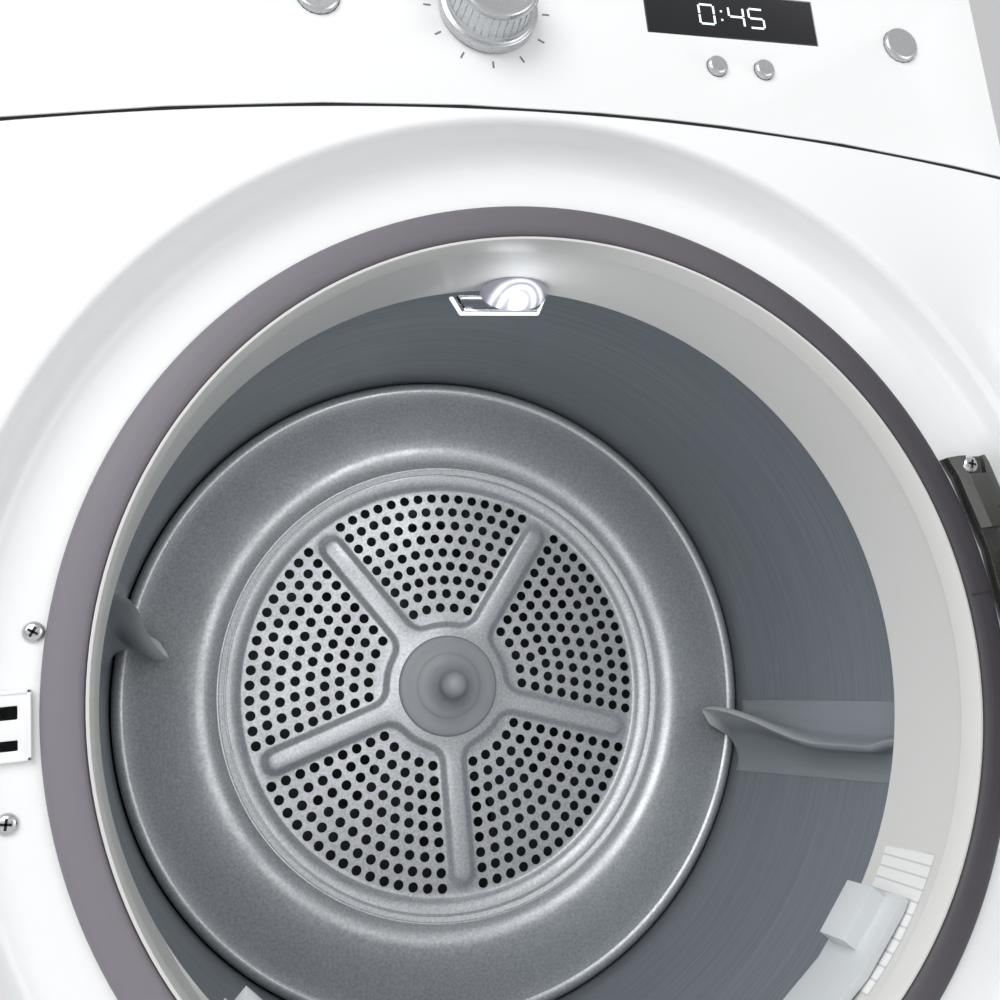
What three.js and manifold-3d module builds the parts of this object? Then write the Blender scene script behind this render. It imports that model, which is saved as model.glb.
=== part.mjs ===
// A front-loading clothes dryer: a sheet-steel cabinet with a round door, a driven drum on two front
// rollers and a rear bearing, a blower on the motor shaft and a lint filter in the door mouth.
// Millimetres, +Z up, +X to the right of someone facing the machine, +Y into the machine.
// The origin is the centre of the base tray's underside.
import * as THREE from "three";
import { mergeVertices } from "three/addons/utils/BufferGeometryUtils.js";
import { ConvexGeometry } from "three/addons/geometries/ConvexGeometry.js";
import Module from "manifold-3d";

const wasm = await Module();
wasm.setup();

// Overall sizes.
const WIDTH = 598;
const DEPTH = 560;
const HEIGHT = 830;
const HALF = WIDTH / 2;
const SHEET = 1.2;
const GAP = 0.4;
const DOOR_AXIS_Z = 405;

// The drum's radius drives the round family: throat, seal, dish and door.
const DRUM_RADIUS = 262.5;
const DRUM_DEPTH = 259;

// Front panel and door mouth, measured back from the front face (y = 0 there).
const TOE_HEIGHT = 76;
const SEAM_RISE = 293.5;
const SEAM_RADIUS = 1608;
const SEAM_GAP = 1.6;
const TOP_THICKNESS = 25;
const PANEL_DEPTH = 25;
const DISH_RADIUS = DRUM_RADIUS + 24.5;
const DISH_FLAT_RADIUS = DISH_RADIUS - 11;
const DISH_DEPTH = 24;
const DISH_STEPS = 5;
const SEAL_OUTER = DRUM_RADIUS - 12.5;
const SEAL_INNER = SEAL_OUTER - 18.5;
const SEAL_PROUD = 6;
const SEAL_FOOT = SEAL_OUTER - 4;
const SEAL_FOOT_DEPTH = 34;

// Throat ring between the door mouth and the drum.
const THROAT_FRONT = 20;
const THROAT_LIP_RADIUS = SEAL_INNER - 2;
const THROAT_LIP_LENGTH = 16;
const THROAT_LIP_STEP = 1.5;
const THROAT_REAR_RADIUS = SEAL_INNER + 5;
const THROAT_REAR = 104.75;
const THROAT_WALL = 2.6;
const THROAT_FLANGE = DRUM_RADIUS - 4.5;
const FLANGE_THICKNESS = 4;
const FELT_SUNK = 2.6;
const FELT_WIDTH = 14;
const SHIELD_REAR = THROAT_REAR - 7.75;
const SHIELD_TOP = DOOR_AXIS_Z + SEAM_RISE;
const SHIELD_INSET = 9;

// Drum.
const DRUM_FRONT = THROAT_REAR + 4.25;
const DRUM_REAR = DRUM_FRONT + DRUM_DEPTH;
const DRUM_LIP = 14.5;
const RIM_CLEARANCE = 1.3;
const DISC_RADIUS = DRUM_RADIUS - 97.5;
const DISC_FACE = DRUM_REAR - 2;
const CROWN_RADIUS = DRUM_RADIUS - 64.5;
const CROWN_FACE = DRUM_REAR - 22;
const WALL_SHIFT = 1.5;
const HUB_RADIUS = 41;
const HUB_FACE = DISC_FACE - 6.5;
const NOSE_LENGTH = 32;
const NOSE_BALL = 11;
const SPOKES = 5;
const SPOKE_LENGTH = DISC_RADIUS - 5;
const SPOKE_WIDTH = 20;
const SPOKE_RISE = 5;
const SPOKE_START = 53.5;
const SHAFT_RADIUS = 10;
const BUSH_WALL = 8;
const BUSH_LENGTH = 24;
const LIFTER_ANGLE = -14;
const LIFTER_FRONT = DRUM_FRONT + 7;
const LIFTER_REAR = DRUM_REAR - 16;
const LIFTER_HALF_BASE = 6.2;
const LIFTER_FRONT_RISE = 16.5;
const LIFTER_REAR_RISE = 36.5;

// Drum rollers and their axles.
const ROLLER_RADIUS = 24;
const ROLLER_ANGLE = 55;
const ROLLER_WIDTH = 16;
const ROLLER_FRONT = DRUM_FRONT + 4;
const AXLE_RADIUS = 5;

// Rear bulkhead, air channel and heater.
const BULKHEAD = DRUM_REAR + 24;
const BULKHEAD_SHEET = 2;
const BULKHEAD_TOP = DOOR_AXIS_Z + SEAM_RISE - 8;
const SHAFT_REAR = BULKHEAD + 26;
const AIR_HOLES = 6;
const AIR_HOLE_CIRCLE = DISC_RADIUS - 55;
const AIR_HOLE_RADIUS = AIR_HOLE_CIRCLE / 2 - 21;
const CHANNEL_RADIUS = DISC_RADIUS + 31;
const CHANNEL_DEPTH = 46;
const HEATER_WIDTH = 190;
const HEATER_HEIGHT = 62;

// Motor, blower, belt and exhaust.
const MOTOR_X = 150;
const MOTOR_Z = 88;
const MOTOR_RADIUS = 50;
const MOTOR_FRONT = DRUM_FRONT + 31;
const MOTOR_SHAFT = 6;
const PULLEY_RADIUS = 12;
const PULLEY_WIDTH = 14;
const BELT_Y = DRUM_REAR - 46;
const MOTOR_END = BELT_Y - 42;
const BELT_WIDTH = 9;
const BELT_THICKNESS = 2.5;
const BELT_STEPS = 24;
const IDLER_RADIUS = 16;
const IDLER_ARM = 58;
const IDLER_RISE = 50;
const IDLER_LEAN = 50;
const IDLER_CLEARANCE = 1.2;
const IDLER_WIDTH = 14;
const FAN_FRONT = 36;
const FAN_DEPTH = 57;
const FAN_RADIUS = 56;
const FAN_BLADES = 8;
const SCROLL_RADIUS = 66;
const FAN_INLET = 34;
const EXHAUST_RADIUS = 50;
const EXHAUST_X = -190;
const EXHAUST_Z = 74;
const EXHAUST_PROUD = 34;
const BULKHEAD_LOW = EXHAUST_Z + EXHAUST_RADIUS + 8;
const PIPE_STEPS = 28;
const INLET = [38, 32];
const INLET_INSET = 75;
const INLET_DROP = 162;
const DUCT_TOP = 84;

// Lamp lens in the top of the throat: half width above, half width below and height.
const LENS = [31, 25, 12];
const LENS_DEPTH = 16;

// Lint filter in the bottom of the throat.
const FILTER_HALF_ANGLE = 52;
const FILTER_COVER_THICKNESS = 5;
const FILTER_FRONT = 50;
const FILTER_REAR = THROAT_REAR - 8.75;
const FILTER_BLADE_LEFT = -120;
const FILTER_BLADE_RIGHT = 60;
const FILTER_BLADE_DROP = 76;
const FILTER_BLADE_THICKNESS = 12;
const FILTER_LUG = [34, 24, 11];

// Door, drawn closed and then swung open about its hinge.
const DOOR_RADIUS = SEAL_OUTER + 32;
const DOOR_FRONT = -28;
const DOOR_BACK = -0.8;
const DOOR_WALL = 3;
const WINDOW_RADIUS = DOOR_RADIUS - 86;
const DOOR_FRAME_STEP = SEAL_OUTER - 1;
const DOOR_FRAME_BACK = 17.4;
const BOWL_RIM = SEAL_INNER - 9.5;
const BOWL_FLOOR = BOWL_RIM - 72;
const BOWL_DEPTH = 78;
const BOWL_WALL = 5;
const HINGE_X = DOOR_RADIUS - 14;
const HINGE_Y = -11;
const HINGE_PIN = 4;
const SHANK_WIDTH = 10;
const HINGE_OPEN = 120;
const EAR_INNER = 34;
const EAR_OUTER = 46;
const BRACKET_TOP = 98;
const BRACKET_FRONT = 12;
const BRACKET_STEP = 56;
const BRACKET_SCREW_ANGLE = 20.7;
const HOOK_Z = 5.6;
const LOWER_SLOT_Z = -8.2;
const STRIKE_X = -SEAL_OUTER - 2.8;
const STRIKE_WIDTH = 21.6;
const STRIKE_HEIGHT = 30;

// Controls on the fascia.
const CONTROL_Z = HEIGHT - 73;
const KNOB_X = -20;
const KNOB_RADIUS = 27;
const KNOB_LENGTH = 24;
const DISPLAY = [110, 30];
const DISPLAY_X = 128;
const BUTTON_RADIUS = 6;
const BUTTON_LENGTH = 9;
const BUTTON_PROUD = 3;
const BUTTON_PITCH = 30;
const START_RADIUS = 11;
const START_X = HALF - 59;
const POWER_X = -110;

// Feet.
const FOOT_HEIGHT = 15;
const FOOT_RADIUS = 20;
const FOOT_PAD = 8;
const FOOT_STEM = 5;
const FOOT_X = HALF - 49;
const FOOT_INSET = 62;
const TRAY_THICKNESS = 20;

const ROUND = 36;
const SMALL = 16;
const SAG = Math.cos(Math.PI / ROUND);

const material = (color, roughness, metalness = 0) =>
  new THREE.MeshStandardMaterial({ color, roughness, metalness });
const WHITE = material(0xeef0f0, 0.35);
const STEEL = material(0xb7bbbd, 0.4, 0.9);
const DRUM_STEEL = material(0x6b757d, 0.35, 0.9);
const RUBBER = material(0x5a575d, 0.8);
const GREY_PLASTIC = material(0xb9b9b4, 0.55);
const LIFTER_PLASTIC = material(0x7b8084, 0.5);
const DARK = material(0x3a3b3c, 0.5);
const CLEAR = material(0xdfe8ee, 0.1);
const BLACK = material(0x17181a, 0.25);
const COPPER = material(0xa06a45, 0.4, 0.8);

const radians = THREE.MathUtils.degToRad;
const point = (x, y) => new THREE.Vector2(x, y);

// The dryer, and inside it the group whose y starts at the front face.
const dryer = new THREE.Group();
const front = new THREE.Group();
front.position.y = -DEPTH / 2;
dryer.add(front);
const door = new THREE.Group();
door.position.set(HINGE_X, HINGE_Y, DOOR_AXIS_Z);
door.rotation.z = radians(HINGE_OPEN);
front.add(door);

function add(name, geometry, look, parent = front) {
  const mesh = new THREE.Mesh(geometry, look);
  mesh.name = name;
  parent.add(mesh);
  return mesh;
}

// A ring or a turned piece about the y axis; points are [radius, y] along the closed outline.
function revolve(outline, segments = ROUND) {
  let area = 0;
  outline.forEach(([r, y], i) => {
    const [nextR, nextY] = outline[(i + 1) % outline.length];
    area += r * nextY - nextR * y;
  });
  const ordered = area > 0 ? [...outline] : [...outline].reverse();
  const onAxis = ordered.findIndex(([r], i) => r === 0 && ordered[(i + 1) % ordered.length][0] !== 0);
  const turned =
    onAxis < 0
      ? [...ordered, ordered[0]]
      : [...ordered.slice(onAxis), ...ordered.slice(0, onAxis)];
  return new THREE.LatheGeometry(turned.map(([r, y]) => point(r, y)), segments);
}

// A flat outline in x and z, standing between two depths.
function plate(shape, near, far, curveSegments = SMALL) {
  const depth = far - near;
  const steps = { depth, bevelEnabled: false, curveSegments };
  return new THREE.ExtrudeGeometry(shape, steps).rotateX(Math.PI / 2).translate(0, far, 0);
}

function outline(points) {
  return new THREE.Shape(points.map(([x, z]) => point(x, z)));
}

function box(low, high) {
  const size = high.map((value, i) => value - low[i]);
  const middle = high.map((value, i) => (value + low[i]) / 2);
  return new THREE.BoxGeometry(...size).translate(...middle);
}

// A round bar along y.
function bar(x, z, radius, near, far, segments = SMALL) {
  const rod = new THREE.CylinderGeometry(radius, radius, far - near, segments);
  return rod.translate(x, (near + far) / 2, z);
}

function solid(geometry) {
  const bare = geometry.index ? geometry.toNonIndexed() : geometry.clone();
  bare.deleteAttribute("normal");
  bare.deleteAttribute("uv");
  const merged = mergeVertices(bare, 1e-4);
  const vertProperties = new Float32Array(merged.attributes.position.array);
  const triVerts = new Uint32Array(merged.index.array);
  return new wasm.Manifold(new wasm.Mesh({ numProp: 3, vertProperties, triVerts }));
}

function shapeOf(manifold) {
  const { vertProperties, triVerts } = manifold.getMesh();
  const geometry = new THREE.BufferGeometry();
  geometry.setAttribute("position", new THREE.BufferAttribute(vertProperties, 3));
  geometry.setIndex(new THREE.BufferAttribute(triVerts, 1));
  geometry.computeVertexNormals();
  return geometry;
}

function join(...geometries) {
  return shapeOf(geometries.map(solid).reduce((whole, part) => whole.add(part)));
}

function cut(geometry, ...tools) {
  return shapeOf(tools.map(solid).reduce((whole, tool) => whole.subtract(tool), solid(geometry)));
}

const atDoorAxis = (geometry) => geometry.translate(0, 0, DOOR_AXIS_Z);
const polar = (radius, degrees) => [
  radius * Math.cos(radians(degrees)),
  DOOR_AXIS_Z + radius * Math.sin(radians(degrees)),
];

// Front outline below the arched seam, and the fascia outline above it.
const seamCentre = DOOR_AXIS_Z + SEAM_RISE - SEAM_RADIUS;

function seamPoints(radius, half) {
  const steps = 16;
  return Array.from({ length: steps + 1 }, (_, i) => {
    const x = half - (2 * half * i) / steps;
    return [x, seamCentre + Math.sqrt(radius ** 2 - x ** 2)];
  });
}

function frontOutline(inset) {
  const half = HALF - inset;
  const low = TOE_HEIGHT + inset;
  return outline([[-half, low], [half, low], ...seamPoints(SEAM_RADIUS - inset, half)]);
}

function fasciaOutline(inset) {
  const half = HALF - inset;
  const top = HEIGHT - TOP_THICKNESS - GAP - inset;
  const arc = seamPoints(SEAM_RADIUS + SEAM_GAP + inset, half);
  return outline([...arc, [-half, top], [half, top]]);
}

// The dish around the door mouth: a flat ring at the bottom of a quarter-round cove.
function dish(extra) {
  const flat = DISH_FLAT_RADIUS + extra;
  const wide = DISH_RADIUS + extra;
  const depth = DISH_DEPTH + extra;
  const cove = Array.from({ length: DISH_STEPS + 1 }, (_, i) => {
    const turn = (i / DISH_STEPS) * (Math.PI / 2);
    return [wide - (wide - flat) * Math.sin(turn), depth * (1 - Math.cos(turn))];
  });
  const floor = [[0, depth], [0, -GAP]];
  return atDoorAxis(revolve([[wide, -GAP], ...cove, ...floor]));
}

function frontPanel() {
  const slab = plate(frontOutline(0), 0, PANEL_DEPTH);
  const panRadius = DISH_RADIUS + SHEET;
  const panDepth = DISH_DEPTH + SHEET;
  const pan = atDoorAxis(revolve([[0, 0], [panRadius, 0], [panRadius, panDepth], [0, panDepth]]));
  const hollow = solid(plate(frontOutline(SHEET), SHEET, DISH_DEPTH + 2)).subtract(solid(dish(SHEET)));
  const mouth = bar(0, DOOR_AXIS_Z, SEAL_FOOT + GAP, -1, DISH_DEPTH + 2, ROUND);
  const body = solid(slab).add(solid(pan)).subtract(hollow).subtract(solid(dish(0)));
  const holes = [mouth, ...strikeSlots()];
  return shapeOf(holes.map(solid).reduce((rest, hole) => rest.subtract(hole), body));
}

function fascia() {
  const slab = plate(fasciaOutline(0), 0, PANEL_DEPTH);
  const hollow = plate(fasciaOutline(3), 3, PANEL_DEPTH + 1);
  const [wide, high] = DISPLAY;
  const glass = box([DISPLAY_X - wide / 2, -1, CONTROL_Z + 10 - high / 2],
    [DISPLAY_X + wide / 2, 4, CONTROL_Z + 10 + high / 2]);
  const knobHole = bar(KNOB_X, CONTROL_Z, 5.5, -1, 5);
  const holes = buttons.map(([, x, z, radius]) => bar(x, z, radius + GAP, -1, 5, SMALL));
  return cut(slab, hollow, glass, knobHole, ...holes);
}

// Push buttons: name, x, z and radius of each.
const buttons = [
  ["power_button", POWER_X, CONTROL_Z, START_RADIUS],
  ["start_button", START_X, CONTROL_Z, START_RADIUS],
  ["option_button_1", DISPLAY_X - BUTTON_PITCH / 2, CONTROL_Z - 24, BUTTON_RADIUS],
  ["option_button_2", DISPLAY_X + BUTTON_PITCH / 2, CONTROL_Z - 24, BUTTON_RADIUS],
];

function cabinet() {
  const side = HALF - SHEET;
  const top = HEIGHT - TOP_THICKNESS - GAP;
  const near = DISH_DEPTH + SHEET + GAP;
  const far = DEPTH - SHEET - GAP;
  add("side_panel_left", box([-HALF, near, 0], [-side, far, top]), WHITE);
  add("side_panel_right", box([side, near, 0], [HALF, far, top]), WHITE);
  const hose = bar(EXHAUST_X, EXHAUST_Z, EXHAUST_RADIUS + GAP, DEPTH - 5, DEPTH + 5, PIPE_STEPS);
  const inlet = inletBox(0, DEPTH - 5, DEPTH + 5);
  add("rear_panel", cut(box([-HALF, DEPTH - SHEET, 0], [HALF, DEPTH, top]), hose, inlet), STEEL);
  add("top_panel", box([-HALF - 1, -1, HEIGHT - TOP_THICKNESS], [HALF + 1, DEPTH + 1, HEIGHT]), WHITE);
  const stems = feet().map(([, x, y]) => new THREE.CylinderGeometry(FOOT_STEM + GAP, FOOT_STEM + GAP,
    TRAY_THICKNESS * 3, SMALL).rotateX(Math.PI / 2).translate(x, y, 0));
  const tray = box([-side + GAP, near, 0], [side - GAP, far, TRAY_THICKNESS]);
  add("base_tray", cut(join(tray, ...idlerPost()), ...stems), DARK);
  add("toe_panel", box([-HALF, 4, 1], [HALF, PANEL_DEPTH, TOE_HEIGHT - SEAM_GAP]), WHITE);
  add("front_panel", frontPanel(), WHITE);
  add("control_fascia", fascia(), WHITE);
}

// The opening of the power inlet, made smaller by an inset, between two depths.
function inletBox(inset, near, far) {
  const [wide, high] = INLET.map((size) => size / 2 - inset);
  const x = HALF - INLET_INSET;
  const z = HEIGHT - INLET_DROP;
  return box([x - wide, near, z - high], [x + wide, far, z + high]);
}

function controls() {
  const [wide, high] = DISPLAY.map((size) => size / 2 - GAP);
  const z = CONTROL_Z + 10;
  add("display_window", box([DISPLAY_X - wide, 0.3, z - high], [DISPLAY_X + wide, 3.4, z + high]), BLACK);
  add("control_board", box([POWER_X - 30, 16, CONTROL_Z - 30], [START_X + 20, 24, CONTROL_Z + 34]), COPPER);
  const grip = bar(KNOB_X, CONTROL_Z, KNOB_RADIUS, -KNOB_LENGTH, -GAP, 48);
  add("program_knob", join(grip, bar(KNOB_X, CONTROL_Z, 5, -2, 14)), STEEL);
  buttons.forEach(([name, x, z, radius]) => {
    add(name, bar(x, z, radius, -BUTTON_PROUD, BUTTON_LENGTH), STEEL);
  });
}

function mouth() {
  const lip = DISH_DEPTH - SEAL_PROUD;
  const body = DISH_DEPTH - GAP;
  add("door_seal", atDoorAxis(revolve([[SEAL_OUTER, body], [SEAL_OUTER, lip + 3], [SEAL_OUTER - 3, lip + 0.5],
    [SEAL_OUTER - 9, lip], [SEAL_INNER + 4, lip + 0.5], [SEAL_INNER, lip + 3],
    [SEAL_INNER, SEAL_FOOT_DEPTH], [SEAL_FOOT, SEAL_FOOT_DEPTH], [SEAL_FOOT, body]])), RUBBER);
  add("throat_ring", throatRing(), GREY_PLASTIC);
  const wide = HALF - SHIELD_INSET;
  const low = TRAY_THICKNESS + 6;
  const corners = [[-wide, low], [wide, low], [wide, SHIELD_TOP], [-wide, SHIELD_TOP]];
  const shield = plate(outline(corners), SHIELD_REAR - SHEET, SHIELD_REAR);
  const [near, far] = [SHIELD_REAR - 5, SHIELD_REAR + 5];
  const hole = bar(0, DOOR_AXIS_Z, THROAT_REAR_RADIUS + 8, near, far, ROUND);
  const fanHole = bar(MOTOR_X, MOTOR_Z, MOTOR_SHAFT + 8, near, far);
  const hose = bar(EXHAUST_X, EXHAUST_Z, EXHAUST_RADIUS + 3, near, far);
  const axles = [-1, 1].map((side) => bar(...rollerCentre(side), AXLE_RADIUS + GAP, near, far));
  const slot = box([FILTER_BLADE_LEFT - 8, near, 60], [FILTER_BLADE_RIGHT + 8, far, 190]);
  add("front_end_shield", cut(shield, hole, fanHole, hose, slot, ...axles), STEEL);
  const feltNear = THROAT_REAR - FELT_SUNK;
  const feltFar = DRUM_FRONT - GAP;
  const feltInner = THROAT_FLANGE - FELT_WIDTH;
  const felt = revolve([[THROAT_FLANGE, feltNear], [THROAT_FLANGE, feltFar], [feltInner, feltFar],
    [feltInner, feltNear]], 48);
  add("felt_ring", atDoorAxis(felt), RUBBER);
}

function throatRing() {
  const step = THROAT_FRONT + THROAT_LIP_LENGTH;
  const flange = SHIELD_REAR + GAP;
  const flangeRear = flange + FLANGE_THICKNESS;
  const lip = THROAT_LIP_RADIUS;
  const rearOuter = THROAT_REAR_RADIUS + THROAT_WALL;
  const ring = revolve([[lip, THROAT_FRONT], [lip, step], [lip + THROAT_LIP_STEP, step + THROAT_LIP_STEP],
    [THROAT_REAR_RADIUS, THROAT_REAR], [rearOuter, THROAT_REAR], [rearOuter, flangeRear],
    [THROAT_FLANGE, flangeRear], [THROAT_FLANGE, flange], [rearOuter - 0.5, flange],
    [lip + 4.5, SEAL_FOOT_DEPTH + 6], [SEAL_INNER - GAP, SEAL_FOOT_DEPTH + 1],
    [SEAL_INNER - GAP, THROAT_FRONT]]);
  const y = filterMiddle();
  const half = FILTER_BLADE_THICKNESS / 2 + GAP;
  const slot = box([FILTER_BLADE_LEFT - GAP, y - half, 100],
    [FILTER_BLADE_RIGHT + GAP, y + half, DOOR_AXIS_Z - THROAT_LIP_RADIUS + 80]);
  return cut(atDoorAxis(ring), slot);
}

// Inner radius of the throat ring's cone at a depth, taken at the middle of its flats.
function throatRadius(y) {
  const step = THROAT_FRONT + THROAT_LIP_LENGTH + THROAT_LIP_STEP;
  const share = (y - step) / (THROAT_REAR - step);
  const small = THROAT_LIP_RADIUS + THROAT_LIP_STEP;
  return (small + (THROAT_REAR_RADIUS - small) * share) * SAG;
}

function lamp() {
  const [topHalf, lowHalf, drop] = LENS;
  const near = THROAT_REAR - LENS_DEPTH;
  const radius = throatRadius(near) - GAP;
  const top = DOOR_AXIS_Z + Math.sqrt(radius ** 2 - topHalf ** 2);
  const lens = outline([[-lowHalf, top - drop], [lowHalf, top - drop], [topHalf, top - 1], [topHalf, top],
    [-topHalf, top], [-topHalf, top - 1]]);
  add("lamp_lens", plate(lens, near, THROAT_REAR), CLEAR);
}

const filterMiddle = () => (FILTER_FRONT + FILTER_REAR) / 2;

function filter() {
  const y = filterMiddle();
  const near = throatRadius(FILTER_FRONT) - GAP;
  const far = throatRadius(FILTER_REAR) - GAP;
  const thick = FILTER_COVER_THICKNESS;
  const ring = atDoorAxis(revolve([[near, FILTER_FRONT], [far, FILTER_REAR], [far - thick, FILTER_REAR],
    [near - thick, FILTER_FRONT]]));
  const reach = 400;
  const slope = reach * Math.tan(radians(90 - FILTER_HALF_ANGLE));
  const wedge = plate(outline([[0, DOOR_AXIS_Z], [-reach, DOOR_AXIS_Z - slope], [-reach, -200], [reach, -200],
    [reach, DOOR_AXIS_Z - slope]]), 0, 200);
  const strip = shapeOf(solid(ring).intersect(solid(wedge)));
  const half = FILTER_BLADE_THICKNESS / 2;
  const top = DOOR_AXIS_Z - THROAT_LIP_RADIUS;
  const blade = box([FILTER_BLADE_LEFT, y - half, top - FILTER_BLADE_DROP], [FILTER_BLADE_RIGHT, y + half,
    DOOR_AXIS_Z - near + 40]);
  const inside = bar(0, DOOR_AXIS_Z, near - thick + 1, 0, 200, ROUND);
  const trimmed = cut(blade, inside);
  const [lugWide, lugDeep, lugHigh] = FILTER_LUG;
  const lugs = [-1, 1].map((side) => {
    const turn = -90 + side * (FILTER_HALF_ANGLE - 5);
    const [x, z] = polar(near - thick - lugHigh / 2 + 2, turn);
    const lug = new THREE.BoxGeometry(lugWide, lugDeep, lugHigh);
    return lug.rotateY(-radians(turn + 90)).translate(x, y + 4, z);
  });
  add("lint_filter", join(strip, trimmed, ...lugs), CLEAR);
  const wall = 2;
  const room = half + GAP;
  const low = top - FILTER_BLADE_DROP - 4;
  const high = DOOR_AXIS_Z - THROAT_REAR_RADIUS - THROAT_WALL - 4;
  const shell = box([FILTER_BLADE_LEFT - GAP - wall, y - room - wall, low - wall],
    [FILTER_BLADE_RIGHT + GAP + wall, y + room + wall, high]);
  const inner = box([FILTER_BLADE_LEFT - GAP, y - room, low],
    [FILTER_BLADE_RIGHT + GAP, y + room, high + 5]);
  add("filter_housing", cut(shell, inner), GREY_PLASTIC);
}

function drum() {
  const skin = DRUM_RADIUS + SHEET;
  const lip = DRUM_RADIUS - DRUM_LIP;
  add("drum_shell", atDoorAxis(revolve([[lip, DRUM_FRONT], [skin, DRUM_FRONT], [skin, DRUM_REAR - GAP],
    [DRUM_RADIUS, DRUM_REAR - GAP], [DRUM_RADIUS, DRUM_FRONT + SHEET], [lip, DRUM_FRONT + SHEET]])),
    DRUM_STEEL);
  add("drum_rear_wall", rearWall(), STEEL);
  const nose = HUB_FACE - NOSE_LENGTH;
  const cap = revolve([[0, nose], [NOSE_BALL * 0.6, nose + 2], [NOSE_BALL, nose + 7],
    [NOSE_BALL + 1, nose + 14], [NOSE_BALL + 5, nose + 23], [HUB_RADIUS * 0.6, HUB_FACE - 3],
    [HUB_RADIUS - 1, HUB_FACE - 1.5], [HUB_RADIUS, HUB_FACE], [HUB_RADIUS, HUB_FACE + 1.5],
    [0, HUB_FACE + 1.5]], 40);
  add("hub_cap", atDoorAxis(cap), LIFTER_PLASTIC);
  add("drum_shaft", atDoorAxis(revolve([[0, DISC_FACE + 2], [30, DISC_FACE + 2], [30, DISC_FACE + 5],
    [SHAFT_RADIUS, DISC_FACE + 6], [SHAFT_RADIUS, SHAFT_REAR], [0, SHAFT_REAR]], SMALL)), STEEL);
  [["lifter_right", LIFTER_ANGLE], ["lifter_left", LIFTER_ANGLE + 180]].forEach(([name, angle]) => {
    add(name, lifter(angle), LIFTER_PLASTIC);
  });
}

function rearWall() {
  const rim = DRUM_RADIUS - RIM_CLEARANCE;
  const hem = DRUM_REAR - 10;
  const face = [[rim, DRUM_REAR], [rim, hem + 2], [rim - 4, hem], [rim - 23, hem - 1],
    [CROWN_RADIUS + 22, CROWN_FACE + 4], [CROWN_RADIUS, CROWN_FACE], [CROWN_RADIUS - 17, CROWN_FACE + 8],
    [DISC_RADIUS + 3, DISC_FACE - 4], [DISC_RADIUS - 2, DISC_FACE], [HUB_RADIUS + 21, DISC_FACE]];
  const boss = [[HUB_RADIUS + 15, HUB_FACE + 2.2], [0, HUB_FACE + 2.2]];
  const rear = [[0, DISC_FACE + WALL_SHIFT], [DISC_RADIUS, DISC_FACE + WALL_SHIFT],
    [CROWN_RADIUS - 16, CROWN_FACE + 10], [CROWN_RADIUS, CROWN_FACE + 2], [CROWN_RADIUS + 22, CROWN_FACE + 6],
    [rim - 23, hem + 1], [rim - 2, hem + 4],
    [rim - 2, DRUM_REAR + SHEET], [DRUM_RADIUS + SHEET, DRUM_REAR + SHEET], [DRUM_RADIUS + SHEET, DRUM_REAR]];
  const wall = revolve([...face, ...boss, ...rear]);
  const spokes = Array.from({ length: SPOKES }, (_, i) => {
    const reach = new THREE.BoxGeometry(SPOKE_LENGTH - 45, SPOKE_RISE + 1, SPOKE_WIDTH);
    const turn = radians(SPOKE_START + (360 / SPOKES) * i);
    return reach.translate(45 + (SPOKE_LENGTH - 45) / 2, DISC_FACE - SPOKE_RISE / 2 + 1, 0).rotateY(-turn);
  });
  return atDoorAxis(join(wall, ...spokes));
}

function lifter(angle) {
  const base = DRUM_RADIUS * SAG - GAP;
  const at = (radius, degrees, y) => {
    const [x, z] = polar(radius, degrees);
    return new THREE.Vector3(x, y, z);
  };
  const sides = [-LIFTER_HALF_BASE, 0, LIFTER_HALF_BASE];
  const ends = [LIFTER_FRONT, LIFTER_REAR];
  const foot = sides.flatMap((turn) => ends.map((y) => at(base, angle + turn, y)));
  const ridge = [-0.8, 0.8].flatMap((turn) => [
    at(DRUM_RADIUS - LIFTER_FRONT_RISE, angle + turn, LIFTER_FRONT + 4),
    at(DRUM_RADIUS - LIFTER_REAR_RISE, angle + turn, LIFTER_REAR - 6),
  ]);
  const rearStop = rearWallStop();
  return cut(new ConvexGeometry([...foot, ...ridge]), rearStop);
}

// The space of the rear wall with its clearance, which the lifters' rear ends stop short of.
function rearWallStop() {
  const rim = DRUM_RADIUS + 5;
  return atDoorAxis(revolve([[0, CROWN_FACE - 2], [CROWN_RADIUS, CROWN_FACE - 2],
    [CROWN_RADIUS + 22, CROWN_FACE + 2], [rim - 30, CROWN_FACE + 9], [rim, CROWN_FACE + 11],
    [rim, DRUM_REAR], [0, DRUM_REAR]]));
}

const rollerCentre = (side) => {
  const reach = DRUM_RADIUS + SHEET + ROLLER_RADIUS + GAP;
  return polar(reach, -90 + side * (90 - ROLLER_ANGLE));
};

function rollers() {
  [["left", -1], ["right", 1]].forEach(([name, side]) => {
    const [x, z] = rollerCentre(side);
    const wheel = revolve([[AXLE_RADIUS + GAP, 0], [ROLLER_RADIUS, 0], [ROLLER_RADIUS, ROLLER_WIDTH],
      [AXLE_RADIUS + GAP, ROLLER_WIDTH]], 40);
    add(`drum_roller_${name}`, wheel.translate(x, ROLLER_FRONT, z), RUBBER);
    const end = ROLLER_FRONT + ROLLER_WIDTH + 6;
    const head = bar(x, z, AXLE_RADIUS + 4, SHIELD_REAR + GAP, SHIELD_REAR + 6);
    add(`roller_axle_${name}`, join(bar(x, z, AXLE_RADIUS, SHIELD_REAR - 8, end), head), STEEL);
  });
}

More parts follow.
